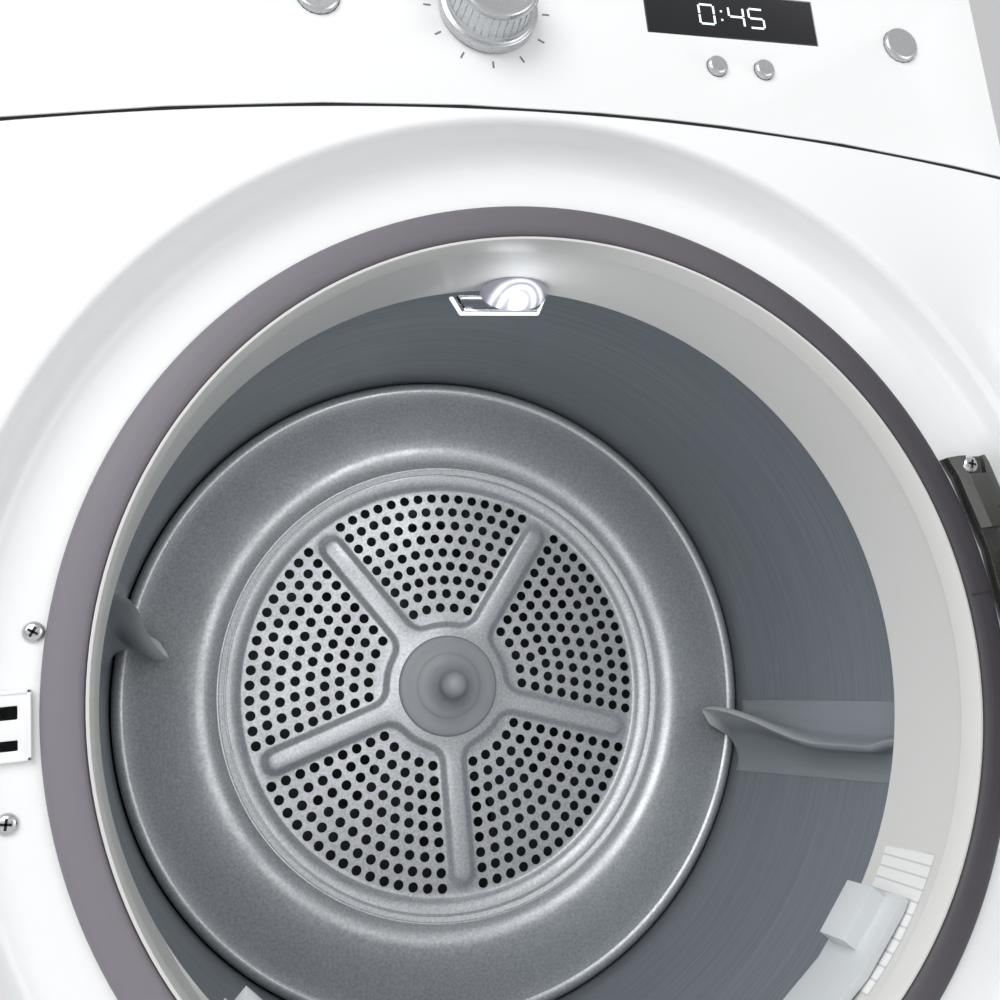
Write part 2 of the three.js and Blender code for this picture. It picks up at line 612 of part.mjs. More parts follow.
function rear() {
  const wide = HALF - SHIELD_INSET;
  const plateShape = outline([[-wide, BULKHEAD_LOW], [wide, BULKHEAD_LOW], [wide, BULKHEAD_TOP],
    [-wide, BULKHEAD_TOP]]);
  const holes = Array.from({ length: AIR_HOLES }, (_, i) => {
    const [x, z] = polar(AIR_HOLE_CIRCLE, (360 / AIR_HOLES) * (i + 0.5));
    return bar(x, z, AIR_HOLE_RADIUS, BULKHEAD - 5, BULKHEAD + 9);
  });
  const bore = SHAFT_RADIUS + GAP;
  const bushRadius = bore + BUSH_WALL;
  const seat = bar(0, DOOR_AXIS_Z, bushRadius + GAP, BULKHEAD - 5, BULKHEAD + 9);
  const sheet = plate(plateShape, BULKHEAD, BULKHEAD + BULKHEAD_SHEET);
  add("rear_bulkhead", cut(sheet, seat, ...holes), STEEL);
  const bushNear = BULKHEAD - 8;
  const bushFar = bushNear + BUSH_LENGTH;
  const bush = revolve([[bore, bushNear], [bushRadius, bushNear], [bushRadius, bushFar],
    [bore, bushFar]], SMALL);
  add("bearing_bush", atDoorAxis(bush), DARK);
  const back = BULKHEAD + BULKHEAD_SHEET + GAP;
  const wall = 1.5;
  const end = back + CHANNEL_DEPTH;
  const pan = revolve([[CHANNEL_RADIUS, back], [CHANNEL_RADIUS, end], [0, end], [0, end - wall],
    [CHANNEL_RADIUS - wall, end - wall], [CHANNEL_RADIUS - wall, back]], 56);
  add("air_channel", atDoorAxis(pan), STEEL);
  const top = DOOR_AXIS_Z - CHANNEL_RADIUS - GAP - 1;
  const low = top - HEATER_HEIGHT;
  const half = HEATER_WIDTH / 2;
  add("heater_box", box([-half, back, low], [half, back + CHANNEL_DEPTH, top]), STEEL);
  add("power_inlet", join(inletBox(1, DEPTH - 16, DEPTH + 1), inletBox(-6, DEPTH + GAP, DEPTH + 4)), DARK);
}

function motorDrive() {
  const can = revolve([[MOTOR_SHAFT + 1, MOTOR_FRONT], [MOTOR_RADIUS - 8, MOTOR_FRONT],
    [MOTOR_RADIUS, MOTOR_FRONT + 10], [MOTOR_RADIUS, MOTOR_END - 10], [MOTOR_RADIUS - 8, MOTOR_END],
    [MOTOR_SHAFT + 1, MOTOR_END]], 36);
  add("motor", can.translate(MOTOR_X, 0, MOTOR_Z), STEEL);
  const saddle = box([MOTOR_X - 56, MOTOR_FRONT + 20, TRAY_THICKNESS + GAP],
    [MOTOR_X + 56, MOTOR_END - 20, MOTOR_Z - 14]);
  const cradle = bar(MOTOR_X, MOTOR_Z, MOTOR_RADIUS + GAP, MOTOR_FRONT, MOTOR_END, 36);
  add("motor_bracket", cut(saddle, cradle), STEEL);
  const near = BELT_Y - PULLEY_WIDTH / 2;
  const groove = PULLEY_RADIUS + 3;
  const shaftFront = FAN_FRONT + 30;
  const pulley = revolve([[0, shaftFront], [MOTOR_SHAFT, shaftFront], [MOTOR_SHAFT, near], [groove, near],
    [groove, near + 2], [PULLEY_RADIUS, near + 2], [PULLEY_RADIUS, near + PULLEY_WIDTH - 2],
    [groove, near + PULLEY_WIDTH - 2], [groove, near + PULLEY_WIDTH], [0, near + PULLEY_WIDTH]], 32);
  add("motor_shaft", pulley.translate(MOTOR_X, 0, MOTOR_Z), STEEL);
  add("fan_wheel", fanWheel(), GREY_PLASTIC);
  add("fan_housing", fanHousing(), GREY_PLASTIC);
  add("drive_belt", belt(), RUBBER);
  idler();
}

function fanWheel() {
  const near = FAN_FRONT + 8;
  const far = FAN_FRONT + FAN_DEPTH - 10;
  const disc = revolve([[MOTOR_SHAFT + GAP, far - 14], [14, far - 14], [14, far - 3], [FAN_RADIUS, far - 3],
    [FAN_RADIUS, far], [MOTOR_SHAFT + GAP, far]], 40);
  const blades = Array.from({ length: FAN_BLADES }, (_, i) => {
    const blade = new THREE.BoxGeometry(14, far - near - 2, 2);
    blade.translate(FAN_RADIUS - 8, (near + far) / 2 - 1, 0);
    return blade.rotateY((2 * Math.PI * i) / FAN_BLADES);
  });
  const hoop = revolve([[FAN_RADIUS - 15, near], [FAN_RADIUS - 1, near], [FAN_RADIUS - 1, near + 2],
    [FAN_RADIUS - 15, near + 2]], 40);
  return join(disc, hoop, ...blades).translate(MOTOR_X, 0, MOTOR_Z);
}

function fanHousing() {
  const far = FAN_FRONT + FAN_DEPTH;
  const wall = 2.5;
  const low = MOTOR_Z - SCROLL_RADIUS + 2;
  const [left, right] = [EXHAUST_X - EXHAUST_RADIUS - 2, EXHAUST_X + EXHAUST_RADIUS + 2];
  const high = EXHAUST_Z + EXHAUST_RADIUS;
  const runBox = (inset) => box([left + inset, FAN_FRONT + inset, low + inset],
    [MOTOR_X, far - inset, DUCT_TOP - inset]);
  const endBox = (inset) => box([left + inset, FAN_FRONT + inset, low + inset],
    [right - inset, far - inset, high - inset]);
  const scroll = (inset) => bar(MOTOR_X, MOTOR_Z, SCROLL_RADIUS - inset, FAN_FRONT + inset, far - inset, 40);
  const inlet = bar(MOTOR_X, MOTOR_Z, FAN_INLET, FAN_FRONT - 5, FAN_FRONT + 10);
  const shaft = bar(MOTOR_X, MOTOR_Z, MOTOR_SHAFT + 2, far - 10, far + 5);
  const outlet = bar(EXHAUST_X, EXHAUST_Z, EXHAUST_RADIUS - 6, far - 10, far + 5);
  const body = [scroll(0), runBox(0), endBox(0)].map(solid).reduce((a, b) => a.add(b));
  const rooms = [scroll(wall), runBox(wall), endBox(wall), inlet, shaft, outlet];
  return shapeOf(rooms.map(solid).reduce((a, b) => a.subtract(b), body));
}

function exhaust() {
  const near = FAN_FRONT + FAN_DEPTH + GAP;
  const wall = 2;
  const tube = revolve([[EXHAUST_RADIUS - 4 - wall, near], [EXHAUST_RADIUS - 4, near],
    [EXHAUST_RADIUS - 4, near + 20], [EXHAUST_RADIUS, near + 30], [EXHAUST_RADIUS, DEPTH + EXHAUST_PROUD],
    [EXHAUST_RADIUS - wall, DEPTH + EXHAUST_PROUD], [EXHAUST_RADIUS - wall, near + 30],
    [EXHAUST_RADIUS - 4 - wall, near + 20]], PIPE_STEPS);
  add("exhaust_duct", tube.translate(EXHAUST_X, 0, EXHAUST_Z), STEEL);
}

// The belt follows the hull of two circles, the drum's and the pulley's.
function belt() {
  const big = (DRUM_RADIUS + SHEET + GAP) / Math.cos(Math.PI / BELT_STEPS);
  const small = (PULLEY_RADIUS + GAP) / Math.cos(Math.PI / BELT_STEPS);
  const loop = (extra) => {
    const dx = MOTOR_X;
    const dz = MOTOR_Z - DOOR_AXIS_Z;
    const towards = Math.atan2(dz, dx);
    const spread = Math.acos((big - small) / Math.hypot(dx, dz));
    const shape = new THREE.Shape();
    shape.absarc(0, DOOR_AXIS_Z, big + extra, towards + spread, towards - spread + 2 * Math.PI, false);
    shape.absarc(MOTOR_X, MOTOR_Z, small + extra, towards - spread, towards + spread, false);
    return shape;
  };
  const near = BELT_Y - BELT_WIDTH / 2;
  const far = near + BELT_WIDTH;
  const outer = plate(loop(BELT_THICKNESS), near, far, BELT_STEPS);
  return cut(outer, plate(loop(0), near - 1, far + 1, BELT_STEPS));
}

// The idler presses on the belt's outer face above the motor pulley; its arm turns on a tray post.
function idlerPlaces() {
  const big = DRUM_RADIUS + SHEET + GAP;
  const small = PULLEY_RADIUS + GAP;
  const dz = MOTOR_Z - DOOR_AXIS_Z;
  const normal = Math.atan2(dz, MOTOR_X) + Math.acos((big - small) / Math.hypot(MOTOR_X, dz));
  const out = small + BELT_THICKNESS + IDLER_RADIUS + IDLER_CLEARANCE;
  const wheel = [
    MOTOR_X + out * Math.cos(normal) - IDLER_RISE * Math.sin(normal),
    MOTOR_Z + out * Math.sin(normal) + IDLER_RISE * Math.cos(normal),
  ];
  const lean = radians(IDLER_LEAN);
  const pivot = [wheel[0] + IDLER_ARM * Math.cos(lean), wheel[1] - IDLER_ARM * Math.sin(lean)];
  return { wheel, pivot };
}

function idler() {
  const { wheel, pivot } = idlerPlaces();
  const near = BELT_Y - IDLER_WIDTH / 2;
  const tread = revolve([[AXLE_RADIUS + GAP, 0], [IDLER_RADIUS, 0], [IDLER_RADIUS, IDLER_WIDTH],
    [AXLE_RADIUS + GAP, IDLER_WIDTH]], 24);
  add("idler_wheel", tread.translate(wheel[0], near, wheel[1]), DARK);
  const armFront = near + IDLER_WIDTH + GAP;
  const armRear = armFront + 5;
  const arm = new THREE.BoxGeometry(IDLER_ARM, 5, 14);
  const turn = Math.atan2(pivot[1] - wheel[1], pivot[0] - wheel[0]);
  arm.rotateY(-turn);
  arm.translate((wheel[0] + pivot[0]) / 2, (armFront + armRear) / 2, (wheel[1] + pivot[1]) / 2);
  const spindle = bar(...wheel, AXLE_RADIUS, near, armRear);
  const eye = bar(...pivot, 10, armFront, armRear);
  const end = bar(...wheel, 9, armFront, armRear);
  const bore = bar(...pivot, AXLE_RADIUS + GAP, armFront - 5, armRear + 5);
  const body = [arm, spindle, eye, end].map(solid).reduce((a, b) => a.add(b)).subtract(solid(bore));
  add("idler_arm", shapeOf(body), STEEL);
}

// The tray's upright that carries the idler arm's stud.
function idlerPost() {
  const { pivot } = idlerPlaces();
  const rear = BELT_Y + IDLER_WIDTH / 2;
  const upright = box([pivot[0] - 12, rear - 12, 1], [pivot[0] + 12, rear, pivot[1] + 12]);
  return [upright, bar(...pivot, AXLE_RADIUS, rear - 6, rear + 10)];
}

function feet() {
  return [["front_left", -FOOT_X, FOOT_INSET], ["front_right", FOOT_X, FOOT_INSET],
    ["rear_left", -FOOT_X, DEPTH - FOOT_INSET], ["rear_right", FOOT_X, DEPTH - FOOT_INSET]];
}

function addFeet() {
  feet().forEach(([name, x, y]) => {
    const padTop = FOOT_PAD - FOOT_HEIGHT;
    const foot = revolve([[0, -FOOT_HEIGHT], [FOOT_RADIUS, -FOOT_HEIGHT], [FOOT_RADIUS, padTop],
      [FOOT_STEM + 4, padTop + 1], [FOOT_STEM, padTop + 2], [FOOT_STEM, TRAY_THICKNESS - 2],
      [0, TRAY_THICKNESS - 2]], 24);
    add(`foot_${name}`, foot.rotateX(Math.PI / 2).translate(x, y, 0), DARK);
  });
}

// The strike's two slots, which go on through the dish floor: the upper one takes the door's hook.
function strikeSlots() {
  const left = STRIKE_X - STRIKE_WIDTH + 3;
  const right = STRIKE_X - 5.5;
  return [[HOOK_Z, 2.9], [LOWER_SLOT_Z, 2.2]].map(([z, half]) => {
    const low = [left, DISH_DEPTH - 6, DOOR_AXIS_Z + z - half];
    return box(low, [right, DISH_DEPTH + 3, DOOR_AXIS_Z + z + half]);
  });
}

function latch() {
  const left = STRIKE_X - STRIKE_WIDTH;
  const near = DISH_DEPTH - GAP - 2.4;
  const body = box([left, near, DOOR_AXIS_Z - STRIKE_HEIGHT / 2], [STRIKE_X, DISH_DEPTH - GAP,
    DOOR_AXIS_Z + STRIKE_HEIGHT / 2]);
  add("latch_strike", cut(body, ...strikeSlots()), WHITE);
}

// A round bar on the hinge's upright line.
function pinBar(radius, length) {
  return new THREE.CylinderGeometry(radius, radius, length, 24).rotateX(Math.PI / 2);
}

// Fixed bracket of the door hinge: an arc plate on the dish floor with two ears that hold the pin.
function hinge() {
  const inner = SEAL_OUTER + 2.5;
  const outer = DISH_FLAT_RADIUS - 0.6;
  const seat = DISH_DEPTH - GAP;
  const band = atDoorAxis(revolve([[inner, seat], [outer, seat], [outer, BRACKET_FRONT + 3],
    [outer - 3, BRACKET_FRONT], [inner + 4, BRACKET_FRONT], [inner, BRACKET_FRONT + 4]]));
  const keep = box([0, -50, DOOR_AXIS_Z - BRACKET_TOP], [HALF, 50, DOOR_AXIS_Z + BRACKET_TOP]);
  const [screwX, screwZ] = polar((inner + outer) / 2, BRACKET_SCREW_ANGLE);
  const rise = screwZ - DOOR_AXIS_Z;
  const notch = [[rise - 6, BRACKET_TOP + 5], [-BRACKET_TOP - 5, 6 - rise]].map(([low, high]) => box(
    [screwX - 6, BRACKET_FRONT - 5, DOOR_AXIS_Z + low],
    [screwX + 6, BRACKET_FRONT + 4, DOOR_AXIS_Z + high],
  ));
  const middle = box([0, BRACKET_FRONT - 5, DOOR_AXIS_Z - BRACKET_STEP],
    [HALF, BRACKET_FRONT + 5, DOOR_AXIS_Z + BRACKET_STEP]);
  const arc = cut(shapeOf(solid(band).intersect(solid(keep))), middle, ...notch);
  const ears = [-1, 1].map((side) => {
    const z = DOOR_AXIS_Z + side * (EAR_INNER + EAR_OUTER) / 2;
    const high = EAR_OUTER - EAR_INNER;
    const root = BRACKET_FRONT + 8;
    const shank = new THREE.BoxGeometry(SHANK_WIDTH, root - HINGE_Y, high);
    shank.translate(HINGE_X - 1, (root + HINGE_Y) / 2, z);
    return join(shank, pinBar(7.5, high).translate(HINGE_X, HINGE_Y, z));
  });
  const pinHole = pinBar(HINGE_PIN + GAP, 200).translate(HINGE_X, HINGE_Y, DOOR_AXIS_Z);
  const body = solid(join(arc, ...ears)).subtract(solid(pinHole));
  add("hinge_bracket", shapeOf(body), DARK);
  add("hinge_pin", pinBar(HINGE_PIN, 2 * EAR_OUTER + 6).translate(HINGE_X, HINGE_Y, DOOR_AXIS_Z), STEEL);
}

// Every door piece is drawn closed, about the door axis, and shifted into the hinge's group.
function doorPieces() {
  const place = (geometry) => geometry.translate(-HINGE_X, -HINGE_Y, 0);
  const back = DOOR_BACK;
  const ring = revolve([[DOOR_RADIUS, back - 1], [DOOR_RADIUS, DOOR_FRONT + 10],
    [DOOR_RADIUS - 3, DOOR_FRONT + 4],
    [DOOR_RADIUS - 9, DOOR_FRONT + 1], [DOOR_RADIUS - 18, DOOR_FRONT], [WINDOW_RADIUS + 8, DOOR_FRONT + 3],
    [WINDOW_RADIUS + GAP, DOOR_FRONT + 5], [WINDOW_RADIUS + GAP, DOOR_FRONT + 11],
    [WINDOW_RADIUS + 8, DOOR_FRONT + 3 + DOOR_WALL + 1], [DOOR_RADIUS - 18, DOOR_FRONT + DOOR_WALL],
    [DOOR_RADIUS - 9, DOOR_FRONT + DOOR_WALL + 2], [DOOR_RADIUS - DOOR_WALL, DOOR_FRONT + 10],
    [DOOR_RADIUS - DOOR_WALL, back - 1]]);
  const notch = box([HINGE_X - 12, DOOR_FRONT + 4, -EAR_OUTER - 5], [HINGE_X + 30, 5, EAR_OUTER + 5]);
  add("door_ring", place(cut(ring, notch)), WHITE, door);
  const dome = revolve([[0, DOOR_FRONT - 1], [WINDOW_RADIUS * 0.6, DOOR_FRONT + 1],
    [WINDOW_RADIUS, DOOR_FRONT + 4.6], [WINDOW_RADIUS, DOOR_FRONT + 8], [WINDOW_RADIUS * 0.6, DOOR_FRONT + 4],
    [0, DOOR_FRONT + 2.5]]);
  add("door_window", place(dome), BLACK, door);
  const step = DOOR_FRAME_STEP;
  const frame = revolve([[BOWL_RIM + GAP, back - 3.5], [DOOR_RADIUS - DOOR_WALL - GAP, back - 3.5],
    [DOOR_RADIUS - DOOR_WALL - GAP, back], [step, back], [step, DOOR_FRAME_BACK - 4],
    [step - 3, DOOR_FRAME_BACK], [BOWL_RIM + 8, DOOR_FRAME_BACK], [BOWL_RIM + GAP, DOOR_FRAME_BACK - 4]]);
  const frameNotch = box([HINGE_X - 13, back - 10, -EAR_OUTER - 5], [HINGE_X + 30, 5, EAR_OUTER + 5]);
  add("door_frame", place(cut(frame, frameNotch)), GREY_PLASTIC, door);
  const wall = BOWL_WALL;
  const bowl = revolve([[BOWL_RIM, back - 3], [BOWL_RIM, 4], [BOWL_RIM - 10, 9], [BOWL_FLOOR + 42, 40],
    [BOWL_FLOOR + 18, BOWL_DEPTH - 12], [BOWL_FLOOR - 6, BOWL_DEPTH - 2], [BOWL_FLOOR - 60, BOWL_DEPTH],
    [0, BOWL_DEPTH], [0, BOWL_DEPTH - wall], [BOWL_FLOOR - 60, BOWL_DEPTH - wall],
    [BOWL_FLOOR - 8, BOWL_DEPTH - wall - 2], [BOWL_FLOOR + 13, BOWL_DEPTH - wall - 11], [BOWL_FLOOR + 36, 38],
    [BOWL_RIM - 15, 5], [BOWL_RIM - 8, back - 3]]);
  add("door_bowl", place(bowl), CLEAR, door);
  const high = EAR_INNER - GAP;
  const block = box([HINGE_X - 34, HINGE_Y - 7, -high], [HINGE_X, back - 3.5 - GAP, high]);
  const knuckle = pinBar(7, 2 * high).translate(HINGE_X, HINGE_Y, 0);
  const bore = pinBar(HINGE_PIN + GAP, 200).translate(HINGE_X, HINGE_Y, 0);
  add("door_hinge_arm", place(cut(join(block, knuckle), bore)), DARK, door);
  const hookX = STRIKE_X - 13;
  const shankHook = box([hookX - 4, back + GAP, HOOK_Z - 2], [hookX + 3, 29, HOOK_Z + 2]);
  const barb = box([hookX - 6, 26.5, HOOK_Z - 2], [hookX + 3, 29, HOOK_Z + 2]);
  const foot = box([hookX - 7, back + GAP, HOOK_Z - 9], [hookX + 8, back + GAP + 3, HOOK_Z + 9]);
  add("door_hook", place(join(shankHook, barb, foot)), STEEL, door);
  const arcHandle = revolve([[DOOR_RADIUS - 24, DOOR_FRONT - 6], [DOOR_RADIUS - 6, DOOR_FRONT - 6],
    [DOOR_RADIUS - 6, DOOR_FRONT - 2], [DOOR_RADIUS - 9, DOOR_FRONT + 0.4],
    [DOOR_RADIUS - 18, DOOR_FRONT - GAP],
    [DOOR_RADIUS - 24, DOOR_FRONT - GAP]]);
  const span = plate(outline([[0, 0], [-400, -150], [-400, 150]]), -60, 20);
  add("door_handle", place(shapeOf(solid(arcHandle).intersect(solid(span)))), STEEL, door);
}

cabinet();
controls();
mouth();
lamp();
filter();
drum();
rollers();
rear();
motorDrive();
exhaust();
addFeet();
latch();
hinge();
doorPieces();

export default dryer;
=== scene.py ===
"""A front-loading clothes dryer with its round door swung open, seen close to the drum's mouth."""
import math

import bmesh
import bpy
from mathutils import Matrix, Vector


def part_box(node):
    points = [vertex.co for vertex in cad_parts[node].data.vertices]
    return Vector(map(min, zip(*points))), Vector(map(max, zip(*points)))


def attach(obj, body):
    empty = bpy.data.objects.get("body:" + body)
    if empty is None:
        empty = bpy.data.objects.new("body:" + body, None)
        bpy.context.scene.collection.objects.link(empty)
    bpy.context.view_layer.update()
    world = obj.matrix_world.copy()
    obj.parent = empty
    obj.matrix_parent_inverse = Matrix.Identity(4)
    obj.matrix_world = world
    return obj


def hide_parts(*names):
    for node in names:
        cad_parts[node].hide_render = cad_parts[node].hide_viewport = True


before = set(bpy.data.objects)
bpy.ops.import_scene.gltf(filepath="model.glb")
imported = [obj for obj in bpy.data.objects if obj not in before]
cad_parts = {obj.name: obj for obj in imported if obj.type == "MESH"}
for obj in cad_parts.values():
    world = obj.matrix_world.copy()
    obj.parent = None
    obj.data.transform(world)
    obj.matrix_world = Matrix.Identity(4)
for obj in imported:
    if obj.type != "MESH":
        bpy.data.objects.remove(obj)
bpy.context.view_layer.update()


# The machine stands with its front face looking along -Y. Everything round is centred on the drum's
# axis, which runs level from the door's mouth to the rear bearing. Depths are taken from the front face.
MM = 0.001
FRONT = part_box("front_panel")[0].y
DRUM_LOW, DRUM_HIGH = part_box("drum_shell")
AXIS_Z = (DRUM_LOW.z + DRUM_HIGH.z) / 2
FLOOR_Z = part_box("foot_front_left")[0].z


# The view looks a little up and to the right into the open mouth, from an arm's length in front.
camera = bpy.data.objects.new("view", bpy.data.cameras.new("view"))
camera.data.lens = 35.18
camera.data.sensor_width = 36.0
camera.data.clip_start = 0.01
look = Vector((0.26680, 0.94588, 0.18475)).normalized()
upward = Vector((0.04892, -0.20475, 0.97759)).normalized()
side = look.cross(upward).normalized()
camera.matrix_world = Matrix((side, side.cross(look), -look)).transposed().to_4x4()
camera.location = (-0.16655, FRONT - 0.44503, AXIS_Z - 0.00359)
bpy.context.scene.collection.objects.link(camera)
bpy.context.scene.camera = camera
bpy.context.scene.view_settings.view_transform = "Standard"


# A plain pale floor under the feet, and a bright even studio: a white surround, one broad soft light
# over the left shoulder and a weaker one from the right.
FLOOR_HALF = 4.0


def tone(*levels):
    """A colour as it looks on a screen, 0 to 255, turned into the linear values a shader takes."""
    return tuple(((v / 255 + 0.055) / 1.055) ** 2.4 for v in levels)


def finish(name, colour, roughness, metallic=0.0, bumps=None, patches=None, more=None):
    """A surface finish, with bumps as (scale, height) and patches as (scale, smoothest, roughest)."""
    material = bpy.data.materials.new(name)
    material.use_nodes = True
    shader = material.node_tree.nodes["Principled BSDF"]
    settings = {"Base Color": (*colour, 1.0), "Roughness": roughness, "Metallic": metallic, **(more or {})}
    for socket, value in settings.items():
        shader.inputs[socket].default_value = value
    if bumps:
        raised(material, grain(material, bumps[0]), bumps[1])
    if patches:
        spread(material, grain(material, patches[0]), *patches[1:])
    return material


def place_on(material):
    """The place of a point on the piece, which every pattern is fixed to."""
    return material.node_tree.nodes.new("ShaderNodeTexCoord").outputs["Object"]


def pattern(material, kind, scale):
    """A pattern node of a kind, fixed to the piece."""
    node = material.node_tree.nodes.new(kind)
    node.inputs["Scale"].default_value = scale
    material.node_tree.links.new(place_on(material), node.inputs["Vector"])
    return node


def grain(material, scale, stretch=(1, 1, 1), detail=4.0, source=None):
    """A noise pattern fixed to the piece, as a value from 0 to 1 for the finish to use."""
    tree = material.node_tree
    noise = tree.nodes.new("ShaderNodeTexNoise")
    noise.inputs["Scale"].default_value = scale
    noise.inputs["Detail"].default_value = detail
    if source is None:
        source = place_on(material)
    mapping = tree.nodes.new("ShaderNodeMapping")
    mapping.inputs["Scale"].default_value = stretch
    tree.links.new(source, mapping.inputs["Vector"])
    tree.links.new(mapping.outputs["Vector"], noise.inputs["Vector"])
    return noise.outputs["Fac"]


def spread(material, value, low, high):
    """Turns a 0 to 1 value into a range of roughness."""
    tree = material.node_tree
    ramp = tree.nodes.new("ShaderNodeMapRange")
    ramp.inputs["From Min"].default_value = 0.3
    ramp.inputs["From Max"].default_value = 0.7
    ramp.inputs["To Min"].default_value = low
    ramp.inputs["To Max"].default_value = high
    tree.links.new(value, ramp.inputs["Value"])
    tree.links.new(ramp.outputs["Result"], tree.nodes["Principled BSDF"].inputs["Roughness"])


def tinted(material, value, dark, light, low=0.3, high=0.7):
    """Turns a 0 to 1 value into a range of colours on the shader's base colour."""
    tree = material.node_tree
    ramp = tree.nodes.new("ShaderNodeValToRGB")
    ramp.color_ramp.elements[0].position = low
    ramp.color_ramp.elements[0].color = (*dark, 1.0)
    ramp.color_ramp.elements[1].position = high
    ramp.color_ramp.elements[1].color = (*light, 1.0)
    tree.links.new(value, ramp.inputs["Fac"])
    tree.links.new(ramp.outputs["Color"], tree.nodes["Principled BSDF"].inputs["Base Color"])


def raised(material, value, height):
    """Raises the surface by a 0 to 1 value, over a height in millimetres."""
    tree = material.node_tree
    bump = tree.nodes.new("ShaderNodeBump")
    bump.inputs["Strength"].default_value = 1.0
    bump.inputs["Distance"].default_value = height * MM
    tree.links.new(value, bump.inputs["Height"])
    tree.links.new(bump.outputs["Normal"], tree.nodes["Principled BSDF"].inputs["Normal"])


floor_mesh = bpy.data.meshes.new("floor")
bm = bmesh.new()
bmesh.ops.create_grid(bm, x_segments=1, y_segments=1, size=FLOOR_HALF)
bmesh.ops.translate(bm, vec=(0, 0, FLOOR_Z - 0.0005), verts=bm.verts)
bm.to_mesh(floor_mesh)
bm.free()
floor = bpy.data.objects.new("floor", floor_mesh)
bpy.context.scene.collection.objects.link(floor)
floor_finish = finish("floor_pale", tone(226, 227, 228), 0.6, patches=(3.0, 0.5, 0.7))
floor_mesh.materials.append(floor_finish)

world = bpy.data.worlds.new("studio")
world.use_nodes = True
world.node_tree.nodes["Background"].inputs["Color"].default_value = (0.99, 0.99, 1.0, 1.0)
world.node_tree.nodes["Background"].inputs["Strength"].default_value = 0.57
bpy.context.scene.world = world


def light(name, kind, place, power, aim=None):
    """A light of a kind at a place, turned towards a point."""
    source = bpy.data.lights.new(name, kind)
    source.energy = power
    lamp = bpy.data.objects.new(name, source)
    lamp.location = place
    if aim:
        lamp.rotation_euler = (Vector(aim) - Vector(place)).to_track_quat("-Z", "Y").to_euler()
    bpy.context.scene.collection.objects.link(lamp)
    return source


light("key_light", "AREA", (-1.1, -1.9, 1.7), 30, (0, 0, 0.4)).size = 1.5
light("fill_light", "AREA", (1.3, -1.7, 0.6), 8, (0, 0, 0.4)).size = 1.0
light("rear_light", "AREA", (0.8, 2.4, 1.8), 26, (0, 0, 0.4)).size = 1.6


# Base tray and levelling feet: a moulded dark plastic tray that carries the rollers' shield, the motor
# and the four screw feet, whose pads stand on the floor.
def keep_edges(bm, width, segments=3, angle=35.0):
    """Rounds the sharp edges of a mesh by a width in millimetres."""
    sharp = [e for e in bm.edges if e.is_manifold and e.calc_face_angle(0.0) > math.radians(angle)]
    bmesh.ops.bevel(bm, geom=sharp, offset=width * MM, offset_type="OFFSET", affect="EDGES",
                    segments=segments, profile=0.5, material=-1, clamp_overlap=True)


def carried(node, width, segments=2):
    """A closed copy of a frame node with its sharp edges rounded."""
    bm = bmesh.new()
    bm.from_mesh(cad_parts[node].data)
    bmesh.ops.remove_doubles(bm, verts=bm.verts, dist=0.01 * MM)
    bmesh.ops.dissolve_limit(bm, angle_limit=math.radians(1.5), verts=bm.verts, edges=bm.edges)
    keep_edges(bm, width, segments)
    return bm


def make(name, bm, material, body, *nodes, slot=None, corner=32.0, outward=True):
    """Turns a bmesh into a finished piece that rides on a body and stands for frame nodes."""
    if outward:
        bmesh.ops.recalc_face_normals(bm, faces=bm.faces)
    mesh = bpy.data.meshes.new(name)
    bm.to_mesh(mesh)
    bm.free()
    mesh.shade_smooth()
    mesh.set_sharp_from_angle(angle=math.radians(corner))
    mesh.materials.append(material)
    piece = bpy.data.objects.new(name, mesh)
    bpy.context.scene.collection.objects.link(piece)
    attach(piece, body)
    if nodes:
        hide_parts(*nodes)
    return piece


def paint(material, *nodes):
    """Gives frame nodes that keep their own shape a finish."""
    for node in nodes:
        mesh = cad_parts[node].data
        mesh.materials.clear()
        mesh.materials.append(material)


tray_plastic = finish("tray_plastic", tone(70, 71, 72), 0.55,
                      bumps=(900.0, 0.05), patches=(14.0, 0.45, 0.65))
paint(tray_plastic, "base_tray")

for corner in ("front_left", "front_right", "rear_left", "rear_right"):
    body = "foot_" + "".join(word[0] for word in corner.split("_"))
    make(f"levelling_foot_{corner}", carried(f"foot_{corner}", 0.8), tray_plastic, body,
         f"foot_{corner}", slot="dark_plastic")


# Side panels, rear panel and worktop: folded sheet steel in white enamel, a galvanised rear panel with
# pressed louvres, and a white laminated board with a rounded edge for the top.
LOUVRE_ROWS, LOUVRE_COLUMNS = 9, 2
LOUVRE = Vector((0.085, 0.0055, 0.009))
LOUVRE_PITCH = 0.019
RIB = Vector((0.006, 0.003, 0.44))

white_enamel = finish("white_enamel", tone(243, 244, 245), 0.3,
                      bumps=(420.0, 0.01), patches=(9.0, 0.295, 0.31), more={"Coat Weight": 0.25})

galvanised = finish("galvanised_sheet", tone(190, 193, 195), 0.4, 0.85, patches=(30.0, 0.32, 0.5))
spangle = pattern(galvanised, "ShaderNodeTexVoronoi", 210.0)
tinted(galvanised, spangle.outputs["Color"], tone(176, 179, 182), tone(194, 197, 199), 0.1, 0.9)


def moved(bm, shift):
    """A mesh shifted by a distance in metres."""
    bmesh.ops.translate(bm, vec=shift, verts=bm.verts)
    return bm


def spun(bm, degrees, axis="Y", centre=(0, 0, 0)):
    """A mesh turned about an axis through a centre."""
    turn = Matrix.Rotation(math.radians(degrees), 3, axis)
    bmesh.ops.rotate(bm, cent=centre, matrix=turn, verts=bm.verts)
    return bm


